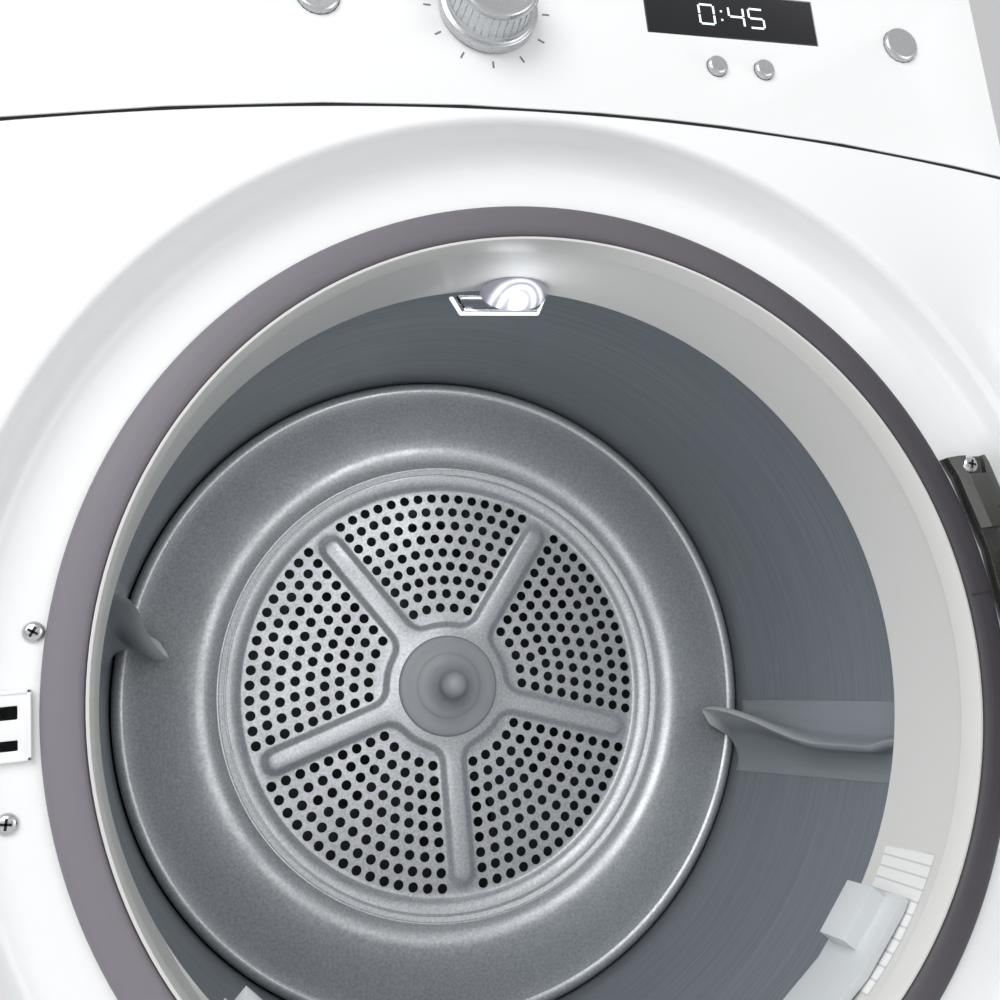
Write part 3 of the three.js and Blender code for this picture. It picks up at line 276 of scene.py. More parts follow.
def slab(low, high, width=0.0, segments=3):
    """A block between two corners, in metres, with its edges rounded by a width in millimetres."""
    low, high = Vector(low), Vector(high)
    bm = bmesh.new()
    bmesh.ops.create_cube(bm, size=1.0)
    bmesh.ops.scale(bm, vec=high - low, verts=bm.verts)
    moved(bm, (low + high) / 2)
    if width:
        keep_edges(bm, width, segments)
    return bm


def together(parts):
    """Several bmeshes as one."""
    whole = bmesh.new()
    for part in parts:
        mesh = bpy.data.meshes.new("part")
        part.to_mesh(mesh)
        part.free()
        whole.from_mesh(mesh)
        bpy.data.meshes.remove(mesh)
    return whole


for side_name in ("left", "right"):
    make(f"cabinet_side_{side_name}", carried(f"side_panel_{side_name}", 0.4), white_enamel, "cabinet",
         f"side_panel_{side_name}", slot="white_enamel")
make("worktop", carried("top_panel", 4.0, 4), white_enamel, "cabinet", "top_panel", slot="white_laminate")

make("rear_cover", carried("rear_panel", 0.3), galvanised, "cabinet", "rear_panel", slot="galvanised_steel")
REAR_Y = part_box("rear_panel")[1].y
louvres = []
for row in range(LOUVRE_ROWS):
    for column in range(LOUVRE_COLUMNS):
        centre = Vector((-0.17 + 0.115 * column, REAR_Y, 0.42 + LOUVRE_PITCH * row))
        louvres.append(slab(centre - LOUVRE / 2, centre + LOUVRE / 2, 2.6, 3))
for x in (-0.262, 0.115, 0.262):
    centre = Vector((x, REAR_Y, 0.45))
    louvres.append(slab(centre - RIB / 2, centre + RIB / 2, 1.4, 3))
make("rear_louvres", together(louvres), galvanised, "cabinet", slot="galvanised_steel")


# Screws: pan heads of bright zinc, on the door's mouth and round the rear panel, with the cross recess drawn
# as dark bars of painted shade.
zinc = finish("bright_zinc", tone(205, 206, 206), 0.24, 1.0)
spread(zinc, grain(zinc, 700.0, (1, 1, 1), 2.0), 0.18, 0.36)
recess_painted_shade = finish("recess_painted_shade", tone(40, 40, 42), 0.6, 0.6, bumps=(800.0, 0.05))
HEAD_HEIGHT = 2.6


def rounded(outline, radius, steps=4):
    """A closed outline with each corner off the axis eased over a radius."""
    soft = []
    count = len(outline)
    for i, corner in enumerate(outline):
        before, here, after = Vector(outline[i - 1]), Vector(corner), Vector(outline[(i + 1) % count])
        if here.x == 0:
            soft.append(here)
            continue
        reach_in = min(radius, (before - here).length * 0.46)
        reach_out = min(radius, (after - here).length * 0.46)
        start = here + (before - here).normalized() * reach_in
        end = here + (after - here).normalized() * reach_out
        for k in range(steps + 1):
            t = k / steps
            soft.append(start * (1 - t) ** 2 + here * 2 * t * (1 - t) + end * t * t)
    return soft


def turned(outline, steps=160, centre=(0.0, None), closed=True):
    """An outline of (radius, depth) in millimetres, spun round a level axis through a centre."""
    x, z = centre[0], AXIS_Z if centre[1] is None else centre[1]
    bm = bmesh.new()
    dots = [bm.verts.new((x + radius * MM, FRONT + depth * MM, z)) for radius, depth in outline]
    pairs = list(zip(dots, dots[1:]))
    if closed and outline[0][0] > 0:
        pairs.append((dots[-1], dots[0]))
    chain = [bm.edges.new(pair) for pair in pairs]
    bmesh.ops.spin(bm, geom=dots + chain, cent=(x, FRONT, z), axis=(0, 1, 0), angle=2 * math.pi,
                   steps=steps, use_merge=True)
    bmesh.ops.remove_doubles(bm, verts=bm.verts, dist=0.001 * MM)
    return bm


def screw(name, x, z, seat, radius=4.7, facing=-1, body="cabinet", roll=20.0):
    """A pan-head screw whose head sits on a depth and looks forward (-1) or back (1)."""
    rise = facing * HEAD_HEIGHT
    head = turned([(0, seat + rise), (radius * 0.55, seat + rise * 0.97), (radius * 0.88, seat + rise * 0.72),
                   (radius, seat + rise * 0.3), (radius, seat), (0, seat)], 32, (x, z))
    make(name, head, zinc, body, slot="plated_steel", corner=50)
    arms = []
    # The cross recess is two dark bars laid on the head: painted shade.
    for turn in (0.0, 90.0):
        half = Vector((radius * 0.52, HEAD_HEIGHT * 0.1, radius * 0.12)) * MM
        arms.append(moved(spun(slab(-half, half), turn + roll), (x, FRONT + (seat + rise * 0.97) * MM, z)))
    make(f"{name}_cross", together(arms), recess_painted_shade, body, slot="plated_steel")


REAR_DEPTH = (REAR_Y - FRONT) / MM
for i, (x, z) in enumerate([(-0.285, 0.03), (-0.285, 0.4), (-0.285, 0.78), (0.285, 0.03), (0.285, 0.4),
                            (0.285, 0.78), (0.0, 0.79), (0.0, 0.02)]):
    screw(f"rear_screw_{i + 1}", x, z, REAR_DEPTH, 4.0, 1)


# Rear bulkhead, air channel, heater, bearing, motor, blower and belt: zinc-coated sheet and moulded
# plastic inside the cabinet, seen only through the drum's air holes.
paint(galvanised, "heater_box", "front_end_shield", "motor_bracket")
# The bulkhead and air channel behind the drum's air holes are painted dark: painted shade for the dim space
# seen through the holes.
shaded_zinc_finish = finish("shaded_zinc", tone(52, 54, 56), 0.6, 0.5, patches=(30.0, 0.5, 0.7))
paint(shaded_zinc_finish, "rear_bulkhead", "air_channel")
plated = finish("plated_steel", tone(190, 191, 192), 0.3, 1.0)
spread(plated, grain(plated, 260.0, (1, 6, 1)), 0.22, 0.42)
paint(plated, "drum_shaft", "motor_shaft", "roller_axle_left", "roller_axle_right", "idler_arm", "hinge_pin")
motor_can = finish("motor_can", tone(82, 85, 88), 0.42, 0.7, patches=(60.0, 0.34, 0.52))
paint(motor_can, "motor")
blower_plastic = finish("blower_plastic", tone(150, 151, 152), 0.55, bumps=(900.0, 0.04))
paint(blower_plastic, "fan_wheel", "fan_housing", "filter_housing")
dark_plastic = finish("dark_plastic", tone(46, 47, 48), 0.5, bumps=(900.0, 0.04))
paint(dark_plastic, "bearing_bush", "idler_wheel")
drive_rubber = finish("drive_rubber", tone(38, 38, 39), 0.75, bumps=(500.0, 0.08))
paint(drive_rubber, "drive_belt", "drum_roller_left", "drum_roller_right")
circuit_green = finish("circuit_board", tone(38, 92, 62), 0.45)
tinted(circuit_green, grain(circuit_green, 240.0, (1, 1, 3)), tone(30, 78, 52), tone(52, 110, 78))
paint(circuit_green, "control_board")


# Exhaust collar and mains inlet on the back: a zinc-coated pipe with a rolled bead that a hose pushes
# over, and a black moulded socket with three flat pins.
def round_box(node):
    """A round node's middle (x, z) in metres, and its radius and its two depths in millimetres."""
    low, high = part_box(node)
    middle = ((low.x + high.x) / 2, (low.z + high.z) / 2)
    return middle, (high.x - low.x) / 2 / MM, (low.y - FRONT) / MM, (high.y - FRONT) / MM


EXHAUST_MIDDLE, r, near, far = round_box("exhaust_duct")
pipe = [(r - 6, near), (r - 4, near), (r - 4, near + 20), (r - 1.5, near + 30), (r - 1.5, far - 16),
        (r, far - 13), (r, far - 9), (r - 1.5, far - 6), (r - 1.5, far), (r - 3, far), (r - 3, near + 30),
        (r - 6, near + 20)]
make("exhaust_pipe", turned(rounded(pipe, 1.5), 72, EXHAUST_MIDDLE), galvanised, "cabinet",
     "exhaust_duct", slot="galvanised_steel")
flange = [(r + 1, REAR_DEPTH), (r + 12, REAR_DEPTH), (r + 12, REAR_DEPTH + 1.5), (r + 1, REAR_DEPTH + 1.5)]
make("exhaust_flange", turned(rounded(flange, 0.5), 72, EXHAUST_MIDDLE), galvanised, "cabinet",
     slot="galvanised_steel")

INLET_LOW, INLET_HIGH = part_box("power_inlet")
inlet_centre = (INLET_LOW + INLET_HIGH) / 2
inlet_centre.y = INLET_HIGH.y
make("mains_inlet", carried("power_inlet", 1.2, 3), dark_plastic, "cabinet", "power_inlet",
     slot="dark_plastic")
# A dark block lines the inlet's well: painted shade of its hollow.
make("mains_inlet_well", slab(inlet_centre - Vector((0.0135, 0.0001, 0.0095)),
                              inlet_centre + Vector((0.0135, 0.0002, 0.0095)), 0.05),
     recess_painted_shade, "cabinet", slot="dark_plastic")
pins = []
for dx, dz in ((-0.007, -0.002), (0.007, -0.002), (0.0, 0.003)):
    spot = inlet_centre + Vector((dx, 0.0004, dz))
    pins.append(slab(spot - Vector((0.001, 0.0006, 0.003)), spot + Vector((0.001, 0.0006, 0.003)), 0.3, 2))
make("mains_inlet_pins", together(pins), zinc, "cabinet", slot="plated_steel")


# Drum shell: one sheet of stainless steel rolled into a cylinder and brushed round its girth, with its
# front edge turned in to run on the felt.
DRUM_RADIUS = 262.5
DRUM_SKIN = 1.2
DRUM_NEAR = (DRUM_LOW.y - FRONT) / MM
DRUM_FAR = (DRUM_HIGH.y - FRONT) / MM
DRUM_LIP = 14.5


def round_axis(material):
    """A place given as turn round the drum's axis, depth and radius, for patterns that run round it."""
    tree = material.node_tree
    centred = tree.nodes.new("ShaderNodeVectorMath")
    centred.inputs[1].default_value = (0, 0, -AXIS_Z)
    tree.links.new(place_on(material), centred.inputs[0])
    parts = tree.nodes.new("ShaderNodeSeparateXYZ")
    tree.links.new(centred.outputs["Vector"], parts.inputs["Vector"])
    turn = tree.nodes.new("ShaderNodeMath")
    turn.operation = "ARCTAN2"
    tree.links.new(parts.outputs["Z"], turn.inputs[0])
    tree.links.new(parts.outputs["X"], turn.inputs[1])
    flat = tree.nodes.new("ShaderNodeCombineXYZ")
    tree.links.new(parts.outputs["X"], flat.inputs["X"])
    tree.links.new(parts.outputs["Z"], flat.inputs["Y"])
    reach = tree.nodes.new("ShaderNodeVectorMath")
    reach.operation = "LENGTH"
    tree.links.new(flat.outputs["Vector"], reach.inputs[0])
    whole = tree.nodes.new("ShaderNodeCombineXYZ")
    tree.links.new(turn.outputs["Value"], whole.inputs["X"])
    tree.links.new(parts.outputs["Y"], whole.inputs["Y"])
    tree.links.new(reach.outputs["Value"], whole.inputs["Z"])
    return whole.outputs["Vector"]


drum_steel = finish("brushed_drum_steel", tone(122, 131, 140), 0.46, 0.45)
around = round_axis(drum_steel)
tinted(drum_steel, grain(drum_steel, 1.0, (1.6, 900, 900), 3.0, around), tone(126, 133, 140),
       tone(146, 152, 158))
spread(drum_steel, grain(drum_steel, 1.0, (3.0, 300, 300), 2.0, around), 0.42, 0.56)
raised(drum_steel, grain(drum_steel, 1.0, (2.0, 1400, 1400), 2.0, around), 0.02)

skin = DRUM_RADIUS + DRUM_SKIN
shell = [(DRUM_RADIUS - DRUM_LIP, DRUM_NEAR), (skin, DRUM_NEAR), (skin, DRUM_FAR), (DRUM_RADIUS, DRUM_FAR),
         (DRUM_RADIUS, DRUM_NEAR + DRUM_SKIN), (DRUM_RADIUS - DRUM_LIP, DRUM_NEAR + DRUM_SKIN)]
make("drum_barrel", turned(rounded(shell, 0.6, 2), 180), drum_steel, "drum", "drum_shell", slot="drum_steel")


# Drum rear wall: one pressed sheet of stainless steel. A hem holds it in the barrel, a bulged crown
# stiffens it, and five ribs join a central boss between fields of punched air holes.
DISC_FACE = DRUM_FAR - 1.6
DISC_RADIUS = 165.0
RIBS = 5
RIB_START = 53.5
RIB_LEVELS = [(0.0, 0.0), (1.5, 0.7), (3.4, 2.6), (5.2, 4.3), (7.0, 5.0)]
RIB_HALF, RIB_REACH, BOSS_RADIUS, BOSS_FILLET = 12.0, 160.0, 54.0, 12.0
HOLE_RADIUS = 4.0
HOLE_SIDES = 14
HOLE_PITCH = 11.9
HOLE_ROWS = [65.0 + 11.75 * k for k in range(9)]
SECTOR = 360.0 / RIBS
ARC_STEPS = 36
SHEET = 1.1


def rib_outline(inset):
    """Half a rib, the fillet and half the boss's edge, from the rib's tip to the middle of a field."""
    half, reach = RIB_HALF - inset, RIB_REACH - inset
    boss, fillet = BOSS_RADIUS - inset, BOSS_FILLET + inset
    along = math.sqrt((boss + fillet) ** 2 - (half + fillet) ** 2)
    tip = [(reach - half + half * math.cos(a), half * math.sin(a))
           for a in (math.pi / 2 * k / 8 for k in range(9))]
    flank = [(reach - half + (along - reach + half) * k / 10, half) for k in range(1, 10)]
    bend = math.atan2(half + fillet, along)
    corner = [(along - fillet * math.sin(a), half + fillet - fillet * math.cos(a))
              for a in ((math.pi / 2 - bend) * k / 6 for k in range(7))]
    edge = [(boss * math.cos(a), boss * math.sin(a))
            for a in (bend + (math.radians(SECTOR / 2) - bend) * k / 4 for k in range(1, 5))]
    return tip + flank + corner + edge


def skin(bm, wall, inward_y=1):
    """Gives an open skin a wall behind it, on the side that looks along +Y or -Y."""
    bmesh.ops.recalc_face_normals(bm, faces=bm.faces)
    if sum(face.normal.y * face.calc_area() for face in bm.faces) * inward_y > 0:
        bmesh.ops.reverse_faces(bm, faces=bm.faces)
    bmesh.ops.solidify(bm, geom=bm.faces[:], thickness=wall * MM)
    return bm


def filled(bm, edges, normal=(0, -1, 0)):
    """Fills closed rings of edges with faces, leaving holes where one ring lies in another."""
    bmesh.ops.triangle_fill(bm, use_beauty=True, use_dissolve=False, edges=edges, normal=normal)


def stepped(bm, edges, outline, levels):
    """Bridges a ring of edges to its outline at each (inset, depth), and gives the last ring."""
    for inset, depth in levels:
        ring = loop(bm, outline(inset), depth)
        bmesh.ops.bridge_loops(bm, edges=edges + ring)
        edges = ring
    return edges


def star_outline(inset):
    """The outline of the ribs and boss, all round, inset by a distance."""
    half = rib_outline(inset)
    mirrored = [(x, -y) for x, y in reversed(half[1:])][1:]
    points = []
    for rib in range(RIBS):
        turn = math.radians(RIB_START + SECTOR * rib)
        for x, y in mirrored + half:
            points.append((x * math.cos(turn) - y * math.sin(turn), x * math.sin(turn) + y * math.cos(turn)))
    return points


def loop(bm, points, depth):
    """A closed ring of edges through (x, z) points in millimetres about the drum's axis."""
    dots = [bm.verts.new((x * MM, FRONT + depth * MM, AXIS_Z + z * MM)) for x, z in points]
    return [bm.edges.new((dots[i - 1], dots[i])) for i in range(len(dots))]


def circle(radius, steps, x=0.0, z=0.0, start=0.0):
    """Points round a circle."""
    return [(x + radius * math.cos(start + 2 * math.pi * k / steps),
             z + radius * math.sin(start + 2 * math.pi * k / steps)) for k in range(steps)]


rear_steel = finish("rear_wall_steel", tone(176, 180, 184), 0.42, 0.55)
tinted(rear_steel, grain(rear_steel, 520.0, detail=6.0), tone(164, 168, 172), tone(196, 199, 202))
spread(rear_steel, grain(rear_steel, 40.0), 0.36, 0.48)
raised(rear_steel, grain(rear_steel, 700.0, detail=5.0), 0.06)

bm = bmesh.new()
field_edges = loop(bm, circle(DISC_RADIUS, RIBS * ARC_STEPS), DISC_FACE)
star_edges = loop(bm, star_outline(0.0), DISC_FACE)
for rib in range(RIBS):
    middle = math.radians(RIB_START + SECTOR * (rib + 0.5))
    for row in HOLE_ROWS:
        room = math.radians(SECTOR / 2) - math.asin((RIB_HALF + HOLE_RADIUS + 0.8) / row)
        count = max(2, round(2 * room * row / HOLE_PITCH) + 1)
        for k in range(count):
            turn = middle - room + 2 * room * k / (count - 1)
            spot = (row * math.cos(turn), row * math.sin(turn))
            field_edges += loop(bm, circle(HOLE_RADIUS, HOLE_SIDES, *spot, turn), DISC_FACE)
filled(bm, field_edges + star_edges)
levels = [(inset, DISC_FACE - rise) for inset, rise in RIB_LEVELS[1:]]
filled(bm, stepped(bm, star_edges, star_outline, levels))

# The crown runs from the field's edge out to the hem, as one turned profile.
CROWN_PROFILE = [(DISC_RADIUS, 0.0), (166.2, -0.6), (168.0, -3.2), (170.5, -5.6), (174.5, -7.2),
                 (176.6, -7.6), (177.0, -6.9), (178.0, -6.9), (178.4, -8.2), (182.0, -9.6), (182.6, -9.0),
                 (183.6, -9.2), (184.2, -11.4), (187.5, -15.4), (191.5, -18.4), (195.5, -19.8),
                 (200.0, -20.0), (208.0, -18.9), (218.0, -16.6), (229.0, -13.6), (240.0, -10.6),
                 (247.5, -8.9), (250.5, -8.9), (251.5, -9.8), (253.0, -10.6), (255.5, -10.4), (258.4, -8.6),
                 (260.6, -5.4), (261.2, -1.0), (261.2, 1.2)]
crown = turned([(radius, DISC_FACE + depth) for radius, depth in CROWN_PROFILE], RIBS * ARC_STEPS,
               closed=False)
wall = together([bm, crown])
bmesh.ops.remove_doubles(wall, verts=wall.verts, dist=0.02 * MM)
make("drum_back", skin(wall, SHEET), rear_steel, "drum", "drum_rear_wall", slot="rear_wall_steel", corner=40,
     outward=False)


# Hub cap: a grey moulded cover over the bearing's screws, with a flared nose that ends in a ball.
HUB_FACE = DISC_FACE - 6.9
hub_plastic = finish("hub_plastic", tone(140, 144, 148), 0.38,
                     bumps=(600.0, 0.03), patches=(25.0, 0.38, 0.5))
nose = [(0.0, -34.0), (3.2, -33.6), (6.4, -32.2), (9.0, -29.7), (10.6, -26.4), (11.0, -23.0), (10.6, -19.6),
        (10.2, -17.0), (10.6, -13.6), (12.0, -10.0), (14.8, -6.8), (18.6, -4.4), (22.4, -3.2), (25.6, -2.8),
        (26.4, -2.2), (27.4, -1.6), (34.0, -1.6), (38.6, -1.3), (40.4, -0.4), (41.0, 0.8), (41.0, 1.8),
        (0.0, 1.8)]
make("hub_cover", turned([(radius, HUB_FACE + depth) for radius, depth in nose], 96), hub_plastic, "drum",
     "hub_cap", slot="hub_plastic", corner=50)


# Lifters: two moulded fins screwed inside the barrel, opposite each other. Each has hollow flanks and a
# rounded ridge that climbs towards the rear, where it turns over into a hooked end.
LIFTER_NEAR, LIFTER_FAR = 116.0, 350.0
LIFTER_TURN = -15.0
LIFTER_HALF = 6.6
LIFTER_SEAT = DRUM_RADIUS - 0.4
lifter_plastic = finish("lifter_plastic", tone(140, 146, 151), 0.4,
                        bumps=(500.0, 0.03), patches=(18.0, 0.36, 0.48))
# The fins are painted lighter on the ridge, furthest from the drum wall, and darker towards their feet:
# painted highlight and painted shade.
height = lifter_plastic.node_tree.nodes.new("ShaderNodeSeparateXYZ")
lifter_plastic.node_tree.links.new(round_axis(lifter_plastic), height.inputs["Vector"])
tinted(lifter_plastic, height.outputs["Z"], tone(192, 195, 197), tone(128, 134, 139), 0.224, 0.246)


def patch(columns, rows, place):
    """A grid of faces whose points are placed by a function of (0 to 1, 0 to 1)."""
    bm = bmesh.new()
    bmesh.ops.create_grid(bm, x_segments=columns, y_segments=rows, size=1.0)
    for dot in bm.verts:
        dot.co = place((dot.co.x + 1) / 2, (dot.co.y + 1) / 2)
    return bm


def eased(value, low, high):
    """Nought below a range and one above it, with a smooth climb between."""
    t = min(1.0, max(0.0, (value - low) / (high - low)))
    return t * t * (3 - 2 * t)


def lifter_point(across, along, turn):
    """A point of a fin: across from one foot over the ridge to the other, along from front to rear."""
    depth = LIFTER_NEAR + (LIFTER_FAR - LIFTER_NEAR) * along
    swell = 24.0 + 5.0 * eased(along, 0.1, 0.6) + 13.0 * eased(along, 0.5, 1.0)
    end = min(1.0, (1.0 - along) / 0.03, along / 0.1 + 0.001)
    swell *= math.sqrt(max(0.0, 1 - (1 - end) ** 2)) * 0.999 + 0.001
    side_step = 2 * across - 1
    ridge = math.exp(-((side_step / 0.17) ** 4))
    flank = 1 - abs(side_step)
    rise = swell * (0.42 * ridge + 0.58 * flank ** 2.2)
    lean = (5.8 * eased(along, 0.3, 0.95) - 1.6) * min(1.0, rise / (0.8 * swell)) * eased(end, 0.0, 1.0)
    angle = math.radians(turn + LIFTER_HALF * side_step * (1 - 0.12 * (1 - along)) + lean)
    radius = LIFTER_SEAT - rise
    return Vector((radius * math.cos(angle) * MM, FRONT + depth * MM, AXIS_Z + radius * math.sin(angle) * MM))


for side_name, turn in (("right", LIFTER_TURN), ("left", LIFTER_TURN + 180.0)):
    fin = patch(72, 90, lambda u, v, turn=turn: lifter_point(u, v, turn))
    edge = [e for e in fin.edges if e.is_boundary]
    filled(fin, edge, (0, 0, 0))
    make(f"drum_fin_{side_name}", fin, lifter_plastic, "drum", f"lifter_{side_name}", slot="lifter_plastic",
         corner=60)


# Throat: a pale grey moulded ring from the door's seal back to the drum, with a narrow step behind its
# lip. The felt strip glued to its rear flange seals against the turning drum.
THROAT = [(229.5, 20.0), (229.5, 35.6), (229.9, 36.2), (231.0, 37.2), (236.3, 104.0), (236.9, 104.75),
          (238.6, 104.75), (239.1, 104.2), (239.1, 101.4), (257.9, 101.4), (257.9, 97.4), (238.6, 97.4),
          (234.0, 40.0), (231.1, 35.0), (231.1, 20.0)]
throat_plastic = finish("throat_plastic", tone(214, 214, 211), 0.38,
                        bumps=(700.0, 0.02), patches=(12.0, 0.34, 0.44))
make("throat", turned(rounded(THROAT, 0.35, 2), 180), throat_plastic, "cabinet", "throat_ring",
     slot="throat_plastic")
felt = finish("felt", tone(96, 92, 88), 0.95, more={"Sheen Weight": 0.4})
raised(felt, grain(felt, 900.0, detail=8.0), 0.4)
paint(felt, "felt_ring")


# Throat label: a blank pale sheet with a few ruled lines, stuck on the lower right of the throat.
LABEL_TURN = (-52.0, -31.0)
LABEL_DEPTH = (44.0, 92.0)
label_paper = finish("label_paper", tone(226, 227, 226), 0.5)
lines = pattern(label_paper, "ShaderNodeTexWave", 55.0)
lines.wave_type = "BANDS"
lines.bands_direction = "Z"
lines.inputs["Distortion"].default_value = 0.0
tinted(label_paper, lines.outputs["Fac"], tone(196, 198, 200), tone(229, 230, 229), 0.02, 0.1)


def on_throat(turn, depth, rise):
    """A point over the throat's inner face, at a turn in degrees and a depth."""
    radius = 231.0 + (depth - 37.2) * (236.3 - 231.0) / (104.0 - 37.2) - rise
    angle = math.radians(turn)
    return Vector((radius * math.cos(angle) * MM, FRONT + depth * MM, AXIS_Z + radius * math.sin(angle) * MM))


def label_point(u, v):
    turn = LABEL_TURN[0] + (LABEL_TURN[1] - LABEL_TURN[0]) * u
    return on_throat(turn, LABEL_DEPTH[0] + (LABEL_DEPTH[1] - LABEL_DEPTH[0]) * v, 0.25)


make("throat_label", patch(24, 4, label_point), label_paper, "cabinet", slot="white_plastic")


# Lint filter: a translucent moulded strip in the bottom of the throat, with two thumb lugs, over a fine
# mesh blade that drops into its housing.
filter_plastic = finish("filter_plastic", tone(222, 226, 228), 0.35, more={"Transmission Weight": 0.25})
weave = pattern(filter_plastic, "ShaderNodeTexVoronoi", 700.0)
raised(filter_plastic, weave.outputs["Distance"], 0.05)
make("lint_screen", carried("lint_filter", 1.6, 3), filter_plastic, "filter", "lint_filter",
     slot="filter_plastic")


# Drum lamp: a clear moulded lens in the top of the throat. A bevelled plate has a border that glows, and
# a dome on its front bends the light of the bulb behind it.
LENS_LOW, LENS_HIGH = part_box("lamp_lens")
LENS_TOP = LENS_HIGH.z - 0.0008
LENS_HALF_TOP, LENS_HALF_LOW = LENS_HIGH.x, 0.0252
LENS_REAR = LENS_HIGH.y
clear_lens = finish("clear_lens", tone(246, 249, 255), 0.03, more={"Transmission Weight": 1.0, "IOR": 1.46})
raised(clear_lens, grain(clear_lens, 120.0, detail=1.0), 0.25)
lit_edge = finish("lit_lens_edge", tone(250, 251, 255), 0.2,
                  bumps=(300.0, 0.05),
                  more={"Emission Color": (*tone(244, 247, 255), 1.0), "Emission Strength": 0.75})


def trapezium(inset, near, far):
    """A block with the lens plate's outline, made smaller by an inset, between two depths in metres."""
    bm = bmesh.new()
    corners = [(-LENS_HALF_TOP + inset * 1.7, LENS_TOP - inset), (-LENS_HALF_LOW + inset, LENS_LOW.z + inset),
               (LENS_HALF_LOW - inset, LENS_LOW.z + inset), (LENS_HALF_TOP - inset * 1.7, LENS_TOP - inset)]
    face = bm.faces.new([bm.verts.new((x, near, z)) for x, z in corners])
    grown = bmesh.ops.extrude_face_region(bm, geom=[face])["geom"]
    moved = [g for g in grown if isinstance(g, bmesh.types.BMVert)]
    bmesh.ops.translate(bm, vec=(0, far - near, 0), verts=moved)
    return bm


plate = trapezium(0.0016, LENS_REAR - 0.0100, LENS_REAR - 0.0010)
keep_edges(plate, 1.2)
make("lamp_plate", plate, clear_lens, "cabinet", "lamp_lens", slot="clear_plastic")
left_top, left_low = (-LENS_HALF_TOP, LENS_TOP), (-LENS_HALF_LOW, LENS_LOW.z)
right_top, right_low = (LENS_HALF_TOP, LENS_TOP), (LENS_HALF_LOW, LENS_LOW.z)
border = bmesh.new()
outer = [left_top, left_low, right_low, right_top]
inner = [(left_top[0] + 0.0022, LENS_TOP), (left_low[0] + 0.0012, LENS_LOW.z + 0.0014),
         (right_low[0] - 0.0012, LENS_LOW.z + 0.0014), (right_top[0] - 0.0022, LENS_TOP)]
for k in range(3):
    border.faces.new([border.verts.new((x, LENS_REAR - 0.0035, z))
                      for x, z in (outer[k], outer[k + 1], inner[k + 1], inner[k])])
bmesh.ops.remove_doubles(border, verts=border.verts, dist=0.0001)
grown = bmesh.ops.extrude_face_region(border, geom=border.faces[:])["geom"]
bmesh.ops.translate(border, vec=(0, 0.0030, 0), verts=[g for g in grown if isinstance(g, bmesh.types.BMVert)])
bmesh.ops.recalc_face_normals(border, faces=border.faces)
keep_edges(border, 0.4)
make("lamp_border", border, lit_edge, "cabinet", slot="clear_plastic")

# The dome's underside is moulded in nested arches. The dome is smooth here: their bright and shaded bands are
# painted highlight and painted shade, in its colour and its glow.
DOME_CENTRE = Vector((0.0075, LENS_REAR - 0.0104, LENS_TOP - 0.0008))
DOME_REACH = Vector((0.0212, 0.0165, 0.0112))
banded = finish("arched_lens", tone(225, 228, 240), 0.06,
                more={"Coat Weight": 0.6, "Emission Strength": 0.42})
band_tree = banded.node_tree
banded_shader = band_tree.nodes["Principled BSDF"]
offset = band_tree.nodes.new("ShaderNodeMapping")
offset.vector_type = "TEXTURE"
offset.inputs["Location"].default_value = (DOME_CENTRE.x, 0, LENS_LOW.z + 0.0005)
offset.inputs["Scale"].default_value = (DOME_REACH.x, 1000.0, 0.0148)
band_tree.links.new(place_on(banded), offset.inputs["Vector"])
from_middle = band_tree.nodes.new("ShaderNodeVectorMath")
from_middle.operation = "LENGTH"
band_tree.links.new(offset.outputs["Vector"], from_middle.inputs[0])
ripple = band_tree.nodes.new("ShaderNodeMath")
ripple.operation = "MULTIPLY_ADD"
ripple.inputs[1].default_value = 0.12
band_tree.links.new(grain(banded, 75.0, detail=2.0), ripple.inputs[0])
band_tree.links.new(from_middle.outputs["Value"], ripple.inputs[2])
bands = band_tree.nodes.new("ShaderNodeValToRGB")
bands.color_ramp.interpolation = "B_SPLINE"
BANDS = [(0.0, 250), (0.30, 236), (0.40, 150), (0.50, 168), (0.58, 248), (0.66, 240), (0.72, 132),
         (0.80, 178), (0.88, 250), (0.96, 205), (1.04, 138)]
for _ in range(len(BANDS) - 2):
    bands.color_ramp.elements.new(0.5)
for element, (place, level) in zip(bands.color_ramp.elements, BANDS):
    element.position = min(1.0, place / 1.08)
    element.color = (*tone(level, level, min(255, level + 12)), 1.0)
band_tree.links.new(ripple.outputs["Value"], bands.inputs["Fac"])
band_tree.links.new(bands.outputs["Color"], banded_shader.inputs["Base Color"])
band_tree.links.new(bands.outputs["Color"], banded_shader.inputs["Emission Color"])
raised(banded, from_middle.outputs["Value"], 1.2)
dome = bmesh.new()
bmesh.ops.create_uvsphere(dome, u_segments=64, v_segments=32, radius=1.0)
bmesh.ops.scale(dome, vec=DOME_REACH, verts=dome.verts)
moved(dome, DOME_CENTRE)
for plane, way in (((0, DOME_CENTRE.y, 0), (0, 1, 0)), ((0, 0, LENS_TOP + 0.003), (0, 0, 1))):
    bmesh.ops.bisect_plane(dome, geom=dome.verts[:] + dome.edges[:] + dome.faces[:], plane_co=plane,
                           plane_no=way, clear_outer=True)
bmesh.ops.recalc_face_normals(dome, faces=dome.faces)
bmesh.ops.solidify(dome, geom=dome.faces[:], thickness=0.0012)
make("lamp_dome", dome, banded, "cabinet", slot="clear_plastic", outward=False, corner=60)

